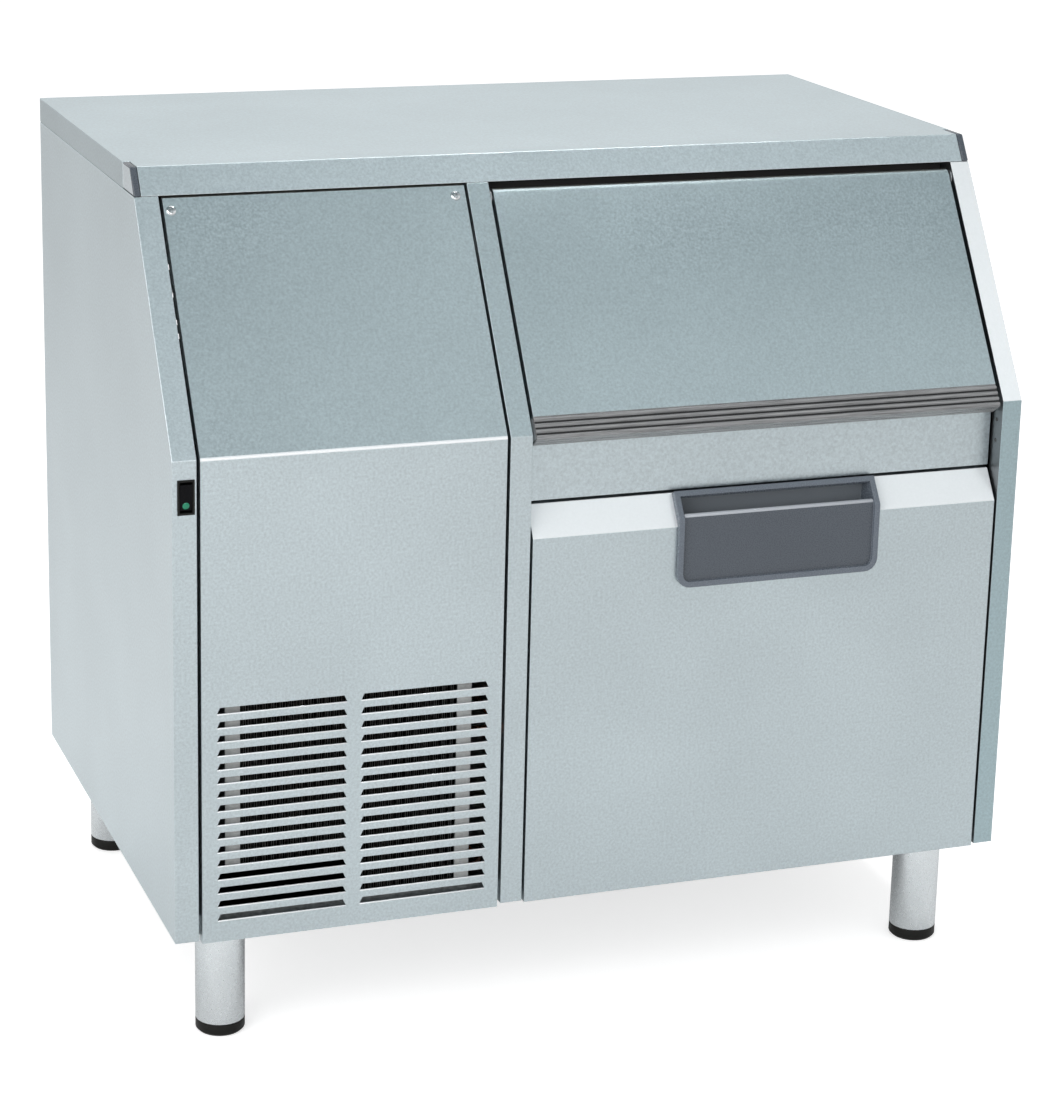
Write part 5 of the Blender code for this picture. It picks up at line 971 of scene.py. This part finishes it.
@dataclass
class Stand:
    """Four tube legs with plug feet, turned finely."""

    x: float = 0.3905
    front_y: float = -0.2410
    rear_y: float = 0.2525
    radius: float = 0.025
    wall: float = 0.0015
    boss: float = 0.014
    boss_top: float = 0.1247
    top: float = 0.1207
    head: float = 0.012
    joint: float = 0.013
    gap: float = 0.0003
    plug: float = 0.0232
    plug_top: float = 0.041
    heel: float = 0.003

    def leg(self) -> np.ndarray:
        """Profile of the tube with its closed head and its boss, from the top down."""
        low = self.joint + self.gap
        bore = self.radius - self.wall
        corners = [
            (0.0, self.boss_top), (self.boss, self.boss_top), (self.boss, self.top),
            (self.radius, self.top), (self.radius, low), (bore, low),
            (bore, self.top - self.head), (0.0, self.top - self.head),
        ]
        return Shapes.rounded(corners, 0.0008, 3)

    def foot(self) -> np.ndarray:
        """Profile of the plug foot with its chamfered heel, from the top down."""
        corners = [
            (0.0, self.plug_top), (self.plug, self.plug_top), (self.plug, self.joint),
            (self.radius, self.joint), (self.radius, self.heel),
            (self.radius - self.heel, 0.0), (0.0, 0.0),
        ]
        return Shapes.rounded(corners, 0.0007, 3)

    def build(self, shop: Workshop) -> None:
        """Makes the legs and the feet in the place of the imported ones."""
        steel = shop.finish("tube_steel", TUBE_STEEL)
        black = shop.finish("black_plastic", BLACK_PLASTIC)
        for end, y in (("front", self.front_y), ("rear", self.rear_y)):
            for hand, x in (("left", -self.x), ("right", self.x)):
                place = Matrix.Translation((x, y, 0.0))
                for name, profile, body, slot, coat in (
                    (f"leg_{end}_{hand}", self.leg(), "cabinet", "satin_steel", steel),
                    (f"foot_{end}_{hand}", self.foot(), f"foot_{end}_{hand}",
                     "black_plastic", black),
                ):
                    solid = Shapes.grid(Shapes.turned(profile, 96))
                    shop.piece(f"{name}_turned", [solid], body, slot, coat, (name,), place)


@dataclass
class PowerSwitch:
    """Rocker switch with a green running lamp in its lower half."""

    x: float = -0.4365
    lamp_z: float = 0.5700
    lamp_radius: float = 0.0034
    lamp_height: float = 0.0008
    frame_y: float = -0.2985
    sight_y: float = -0.5
    edge: float = 0.0005

    def lens(self) -> Tuple[np.ndarray, list]:
        """Works out the lens: a low dome, h(r) = H * (1 - (r / R)^2), with a short rim."""
        share = np.linspace(0.04, 1.0, 10)
        dome = np.stack([share * self.lamp_radius, self.lamp_height * (1.1 - share**2)], -1)
        rim = np.array([[self.lamp_radius, -0.0004]])
        return Shapes.grid(Shapes.turned(np.concatenate([dome, rim]), 40))

    def build(self, shop: Workshop) -> None:
        """Rounds the frame and the rocker, and sets the lens on the rocker's face."""
        face, normal = self.face()
        frame_black = shop.finish("black_plastic", BLACK_PLASTIC)
        rocker = shop.finish("rocker_plastic", ROCKER_PLASTIC)
        shop.softened("switch_frame", frame_black, self.edge, 2)
        shop.softened("switch_rocker", rocker, self.edge, 3)
        place = facing(face, normal)
        lamp = shop.finish("lamp_green", LampGlass())
        shop.piece(
            "running_lamp", [self.lens()], "switch", "black_plastic", lamp, place=place
        )

    def face(self) -> Tuple[Triple, Triple]:
        """Finds the rocker's face at the lamp: the nearest packed triangle from the front.

        Returns:
            The place on the face and its normal.
        """
        rocker = frame["nodes"]["switch_rocker"]
        bpy.context.view_layer.update()
        hit, place, normal, _ = rocker.ray_cast(
            Vector((self.x, self.sight_y, self.lamp_z)), Vector((0.0, 1.0, 0.0))
        )
        if hit:
            return tuple(place), tuple(normal)
        return (self.x, self.frame_y, self.lamp_z), (0.0, -1.0, 0.0)


@dataclass
class IceStore:
    """The insulated bin with its flap lid, and the ice drawer on its runners."""

    lid_edge: float = 0.0010
    pull_edge: float = 0.0011
    lid_liner_edge: float = 0.0009
    grip_edge: float = 0.0003
    drawer_liner_edge: float = 0.0008
    tub_edge: float = 0.0011
    gasket_edge: float = 0.0014
    bin_edge: float = 0.0040
    hinge_edge: float = 0.0004
    runner_edge: float = 0.0003
    bevel_lean: float = math.atan2(0.0200, 0.0305)
    slope: Slope = field(default_factory=Slope)
    groove: float = 0.0007
    rim: float = 0.002
    pocket: float = 0.010
    lip_ends: Tuple[float, float] = (0.0748, 0.2844)
    lip_y: float = -0.2969
    lip_z: float = 0.5186
    lip_radius: float = 0.0023

    def lip(self) -> Tuple[np.ndarray, list]:
        """Works out the rounded lip of the pull: a circle carried along x, with eased ends."""
        left, right = self.lip_ends
        ease = self.lip_radius / 2
        path = np.array([left, left + ease, right - ease, right])
        radius = self.lip_radius * np.array([0.7, 1.0, 1.0, 0.7])
        turn = np.linspace(0.0, FULL_TURN, 28, endpoint=False)
        y = radius[:, None] * np.cos(turn)[None] + self.lip_y
        z = radius[:, None] * np.sin(turn)[None] + self.lip_z
        return Shapes.grid(np.stack([np.broadcast_to(path[:, None], y.shape), y, z], -1))

    def build(self, shop: Workshop) -> None:
        """Dresses the lid, the drawer, the runners and the bin."""
        flat = shop.finish("satin_steel", SATIN_STEEL)
        liner = shop.finish("liner_plastic", LINER_PLASTIC)
        zinc = shop.finish("zinc_steel", ZINC_STEEL)
        grip = shop.finish("grip_plastic", GRIP_PLASTIC)
        slate = shop.finish("slate_plastic", SLATE_PLASTIC)
        rubber = shop.finish("grey_rubber", GREY_RUBBER)
        shop.softened("lid_skin", flat, self.lid_edge, 2)
        shop.softened("lid_liner", liner, self.lid_liner_edge, 2)
        strip = shop.softened("lid_grip", grip, self.grip_edge, 2)
        # Painted shade in the grip's grooves.
        groove = shop.finish("groove_painted_shade", GROOVE_SHADE_PLASTIC)
        shop.reface(strip, groove, leaning(self.slope.angle), behind=self.groove)
        front = shop.softened("drawer_front", flat, self.lid_edge, 2)
        # Painted highlight on the drawer front's bevel.
        bright = shop.finish("fold_painted_highlight", FOLD_HIGHLIGHT_STEEL)
        shop.reface(front, bright, leaning(self.bevel_lean))
        # Painted highlight: the whole pull takes a lighter copy of its plastic, kept on the rim;
        # the face and the pocket are refaced below.
        rim = shop.finish("rim_painted_highlight", RIM_HIGHLIGHT_PLASTIC)
        pull = shop.softened("drawer_pull", rim, self.pull_edge, 3)
        shop.reface(pull, slate, Vector((0.0, -1.0, 0.0)), behind=self.rim)
        # Painted light on the back wall of the pull's pocket.
        pocket = shop.finish("pocket_painted_light", POCKET_LIGHT_PLASTIC)
        shop.reface(pull, pocket, Vector((0.0, -1.0, 0.0)), behind=self.pocket)
        # Painted highlight on the pull's lip.
        gloss = shop.finish("lip_painted_highlight", LIP_HIGHLIGHT_PLASTIC)
        shop.piece("pull_lip", [self.lip()], "drawer", "slate_plastic", gloss)
        shop.softened("drawer_liner", liner, self.drawer_liner_edge, 2)
        shop.softened("drawer_tub", liner, self.tub_edge, 3)
        shop.softened("drawer_gasket", rubber, self.gasket_edge, 3)
        bin_body = shop.softened("bin_body", liner, self.bin_edge, 3)
        # Painted shade on the bin's sloped faces, in the gap under the worktop's nose.
        gap_shade = shop.finish("gap_painted_shade", GAP_SHADE_FINISH)
        shop.reface(bin_body, gap_shade, leaning(self.slope.angle))
        for hand in ("left", "right"):
            shop.softened(f"hinge_{hand}", zinc, self.hinge_edge, 1)
            for part in ("fixed", "middle", "inner"):
                runner = f"runner_{part}_{hand}"
                shop.softened(runner, zinc, self.runner_edge, 1)


@dataclass
class Machine:
    """Everything behind the louvres: refrigeration, ice making and water."""

    edge: float = 0.0008
    sheet_edge: float = 0.0004
    screw_edge: float = 0.0005
    foam_edge: float = 0.0030
    hose_edge: float = 0.0003
    shell_edge: float = 0.0012
    pipe_edge: float = 0.0002

    def build(self, shop: Workshop) -> None:
        """Dresses the machine's pieces."""
        steel = shop.finish("auger_steel", AUGER_STEEL)
        zinc = shop.finish("zinc_steel", ZINC_STEEL)
        black = shop.finish("black_plastic", BLACK_PLASTIC)
        white = shop.finish("white_plastic", WHITE_PLASTIC)
        cast = shop.finish("cast_grey", CAST_GREY)
        shop.coat("condenser_coil", shop.finish("fin_pack", FinPack()))
        ends = shop.softened("condenser_frame", zinc, self.sheet_edge, 1)
        # Painted light on the frame's front faces.
        pale = shop.finish("end_plates_painted_light", END_PLATE_LIGHT_FINISH)
        shop.reface(ends, pale, Vector((0.0, -1.0, 0.0)))
        shop.softened("auger", steel, self.screw_edge, 1)
        foam = shop.finish("foam", FOAM)
        shop.softened("freezing_cylinder", foam, self.foam_edge, 3)
        for node in ("ice_spout", "water_reservoir", "float_arm", "inlet_valve"):
            shop.softened(node, white, self.edge, 2)
        for node in ("drain_pipe", "water_hose", "fill_hose"):
            shop.softened(node, white, self.hose_edge, 1)
        for node in ("fan_shroud", "fan_blade", "terminal_cover", "cable_gland"):
            shop.softened(node, black, self.sheet_edge, 1)
        for node in ("fan_motor", "gear_motor", "electrical_box"):
            shop.softened(node, cast, self.edge, 2)
        paint = shop.finish("black_paint", BLACK_PAINT)
        shop.softened("compressor", paint, self.shell_edge, 2)
        copper = shop.finish("copper", COPPER)
        for node in ("liquid_line", "discharge_line", "suction_line"):
            shop.softened(node, copper, self.pipe_edge, 1)


# Studio


@dataclass
class Studio:
    """Pale floor, white surroundings, soft lamps and the camera."""

    eye: Triple = (-1.0928, -2.9645, 1.3865)
    forward: Triple = (0.329342, 0.905846, -0.266416)
    upward: Triple = (0.069941, 0.257978, 0.963616)
    lens: float = 98.134
    shift_x: float = 0.0261
    shift_y: float = -0.0946
    floor_size: float = 40.0
    light_level: float = 0.62
    ceiling_colour: Triple = (0.225, 0.290, 0.305)
    ceiling_low: float = 0.30
    ceiling_high: float = 0.62
    floor_gloss_lift: float = 0.04
    floor_camera_lift: float = 0.60
    lamps: Tuple[Tuple[str, Triple, Triple, Tuple[float, float], float], ...] = (
        ("key_lamp", (-3.0, -2.4, 2.0), (0.0, 0.0, 0.35), (3.0, 3.0), 76.0),
        ("strip_lamp", (1.5, -2.06, 2.72), (1.5, -0.15, 0.6), (2.8, 0.75), 4.0),
        ("edge_lamp", (1.1, -0.3, 3.6), (0.0, 0.0, 0.6), (0.4, 0.4), 13.0),
        ("top_lamp", (0.3, 1.2, 3.2), (0.0, 0.0, 0.6), (1.8, 1.8), 18.0),
        ("front_lamp", (-0.6, -4.0, 1.5), (0.0, -0.3, 0.4), (1.5, 1.5), 12.0),
    )

    def floor(self) -> None:
        """Lays the floor: pale, white to the camera, and shaded by the object."""
        half = self.floor_size / 2
        mesh = bpy.data.meshes.new("studio_floor")
        mesh.from_pydata(
            [(-half, -half, 0), (half, -half, 0), (half, half, 0), (-half, half, 0)],
            [], [(0, 1, 2, 3)],
        )
        sheet = NodeSheet("studio_floor")
        sheet.shader.inputs["Base Color"].default_value = (0.80, 0.80, 0.80, 1.0)
        sheet.shader.inputs["Roughness"].default_value = 0.9
        sheet.shader.inputs["Specular IOR Level"].default_value = 0.0
        sheet.shader.inputs["Emission Color"].default_value = (1.0, 1.0, 1.0, 1.0)
        path = sheet.add("ShaderNodeLightPath")
        lift = sheet.add("ShaderNodeMath", operation="MULTIPLY")
        lift.inputs[1].default_value = self.floor_gloss_lift
        sheet.join(path.outputs["Is Glossy Ray"], lift.inputs[0])
        clear = sheet.add("ShaderNodeMath", operation="MULTIPLY_ADD")
        clear.inputs[1].default_value = self.floor_camera_lift
        sheet.join(path.outputs["Is Camera Ray"], clear.inputs[0])
        sheet.join(lift.outputs[0], clear.inputs[2])
        sheet.join(clear.outputs[0], sheet.shader.inputs["Emission Strength"])
        mesh.materials.append(sheet.material)
        ground = bpy.data.objects.new("studio_floor", mesh)
        bpy.context.scene.collection.objects.link(ground)

    def surroundings(self) -> None:
        """Sets the world: plain light, and white where camera, gloss or glass sees it."""
        world = bpy.data.worlds.new("studio_world")
        world.use_nodes = True
        tree = world.node_tree
        tree.nodes.clear()
        path = tree.nodes.new("ShaderNodeLightPath")
        first = tree.nodes.new("ShaderNodeMath")
        second = tree.nodes.new("ShaderNodeMath")
        first.operation = second.operation = "MAXIMUM"
        tree.links.new(path.outputs["Is Camera Ray"], first.inputs[0])
        tree.links.new(path.outputs["Is Glossy Ray"], first.inputs[1])
        tree.links.new(first.outputs[0], second.inputs[0])
        tree.links.new(path.outputs["Is Transmission Ray"], second.inputs[1])
        direction = tree.nodes.new("ShaderNodeTexCoord")
        parts = tree.nodes.new("ShaderNodeSeparateXYZ")
        tree.links.new(direction.outputs["Generated"], parts.inputs[0])
        height = tree.nodes.new("ShaderNodeMapRange")
        height.interpolation_type = "SMOOTHSTEP"
        height.inputs["From Min"].default_value = self.ceiling_low
        height.inputs["From Max"].default_value = self.ceiling_high
        tree.links.new(parts.outputs["Z"], height.inputs["Value"])
        seen = tree.nodes.new("ShaderNodeMath")
        seen.operation = "MULTIPLY"
        tree.links.new(height.outputs["Result"], seen.inputs[0])
        tree.links.new(path.outputs["Is Glossy Ray"], seen.inputs[1])
        colour = tree.nodes.new("ShaderNodeMix")
        colour.data_type = "RGBA"
        colour.inputs[6].default_value = (1.0, 1.0, 1.0, 1.0)
        colour.inputs[7].default_value = (*self.ceiling_colour, 1.0)
        tree.links.new(seen.outputs[0], colour.inputs[0])
        strength = tree.nodes.new("ShaderNodeMapRange")
        strength.inputs["To Min"].default_value = self.light_level
        strength.inputs["To Max"].default_value = 1.0
        tree.links.new(second.outputs[0], strength.inputs["Value"])
        light = tree.nodes.new("ShaderNodeBackground")
        tree.links.new(colour.outputs[2], light.inputs["Color"])
        tree.links.new(strength.outputs["Result"], light.inputs["Strength"])
        out = tree.nodes.new("ShaderNodeOutputWorld")
        tree.links.new(light.outputs[0], out.inputs["Surface"])
        bpy.context.scene.world = world

    def hang(self) -> None:
        """Hangs the soft lamps, each aimed at its own spot."""
        for name, spot, target, size, power in self.lamps:
            data = bpy.data.lights.new(name, "AREA")
            data.shape = "RECTANGLE"
            data.size, data.size_y = size
            data.energy = power
            lamp = bpy.data.objects.new(name, data)
            lamp.location = spot
            aim = Vector(target) - Vector(spot)
            lamp.rotation_euler = aim.to_track_quat("-Z", "Y").to_euler()
            bpy.context.scene.collection.objects.link(lamp)

    def camera(self) -> None:
        """Stands the camera at the photograph's place and angle."""
        forward, upward = Vector(self.forward), Vector(self.upward)
        right = forward.cross(upward)
        data = bpy.data.cameras.new("photo_camera")
        data.sensor_width = 36.0
        data.lens = self.lens
        data.shift_x, data.shift_y = self.shift_x, self.shift_y
        data.clip_end = 100.0
        camera = bpy.data.objects.new("photo_camera", data)
        turn = Matrix((right, upward, -forward)).transposed().to_4x4()
        camera.matrix_world = Matrix.Translation(Vector(self.eye)) @ turn
        bpy.context.scene.collection.objects.link(camera)
        bpy.context.scene.camera = camera

    def build(self) -> None:
        """Sets up the whole studio."""
        scene = bpy.context.scene
        scene.view_settings.view_transform = "Standard"
        self.floor()
        self.surroundings()
        self.hang()
        self.camera()


def main() -> None:
    """Builds the studio and each sub-assembly."""
    logging.basicConfig(level=logging.INFO, format="%(name)s: %(message)s")
    Studio().build()
    shop = Workshop()
    for assembly in (Cabinet(), Louvres(), Stand(), PowerSwitch(), IceStore(), Machine()):
        assembly.build(shop)
    LOG.info("%d pieces made", shop.count)


if __name__ == "__main__":
    main()
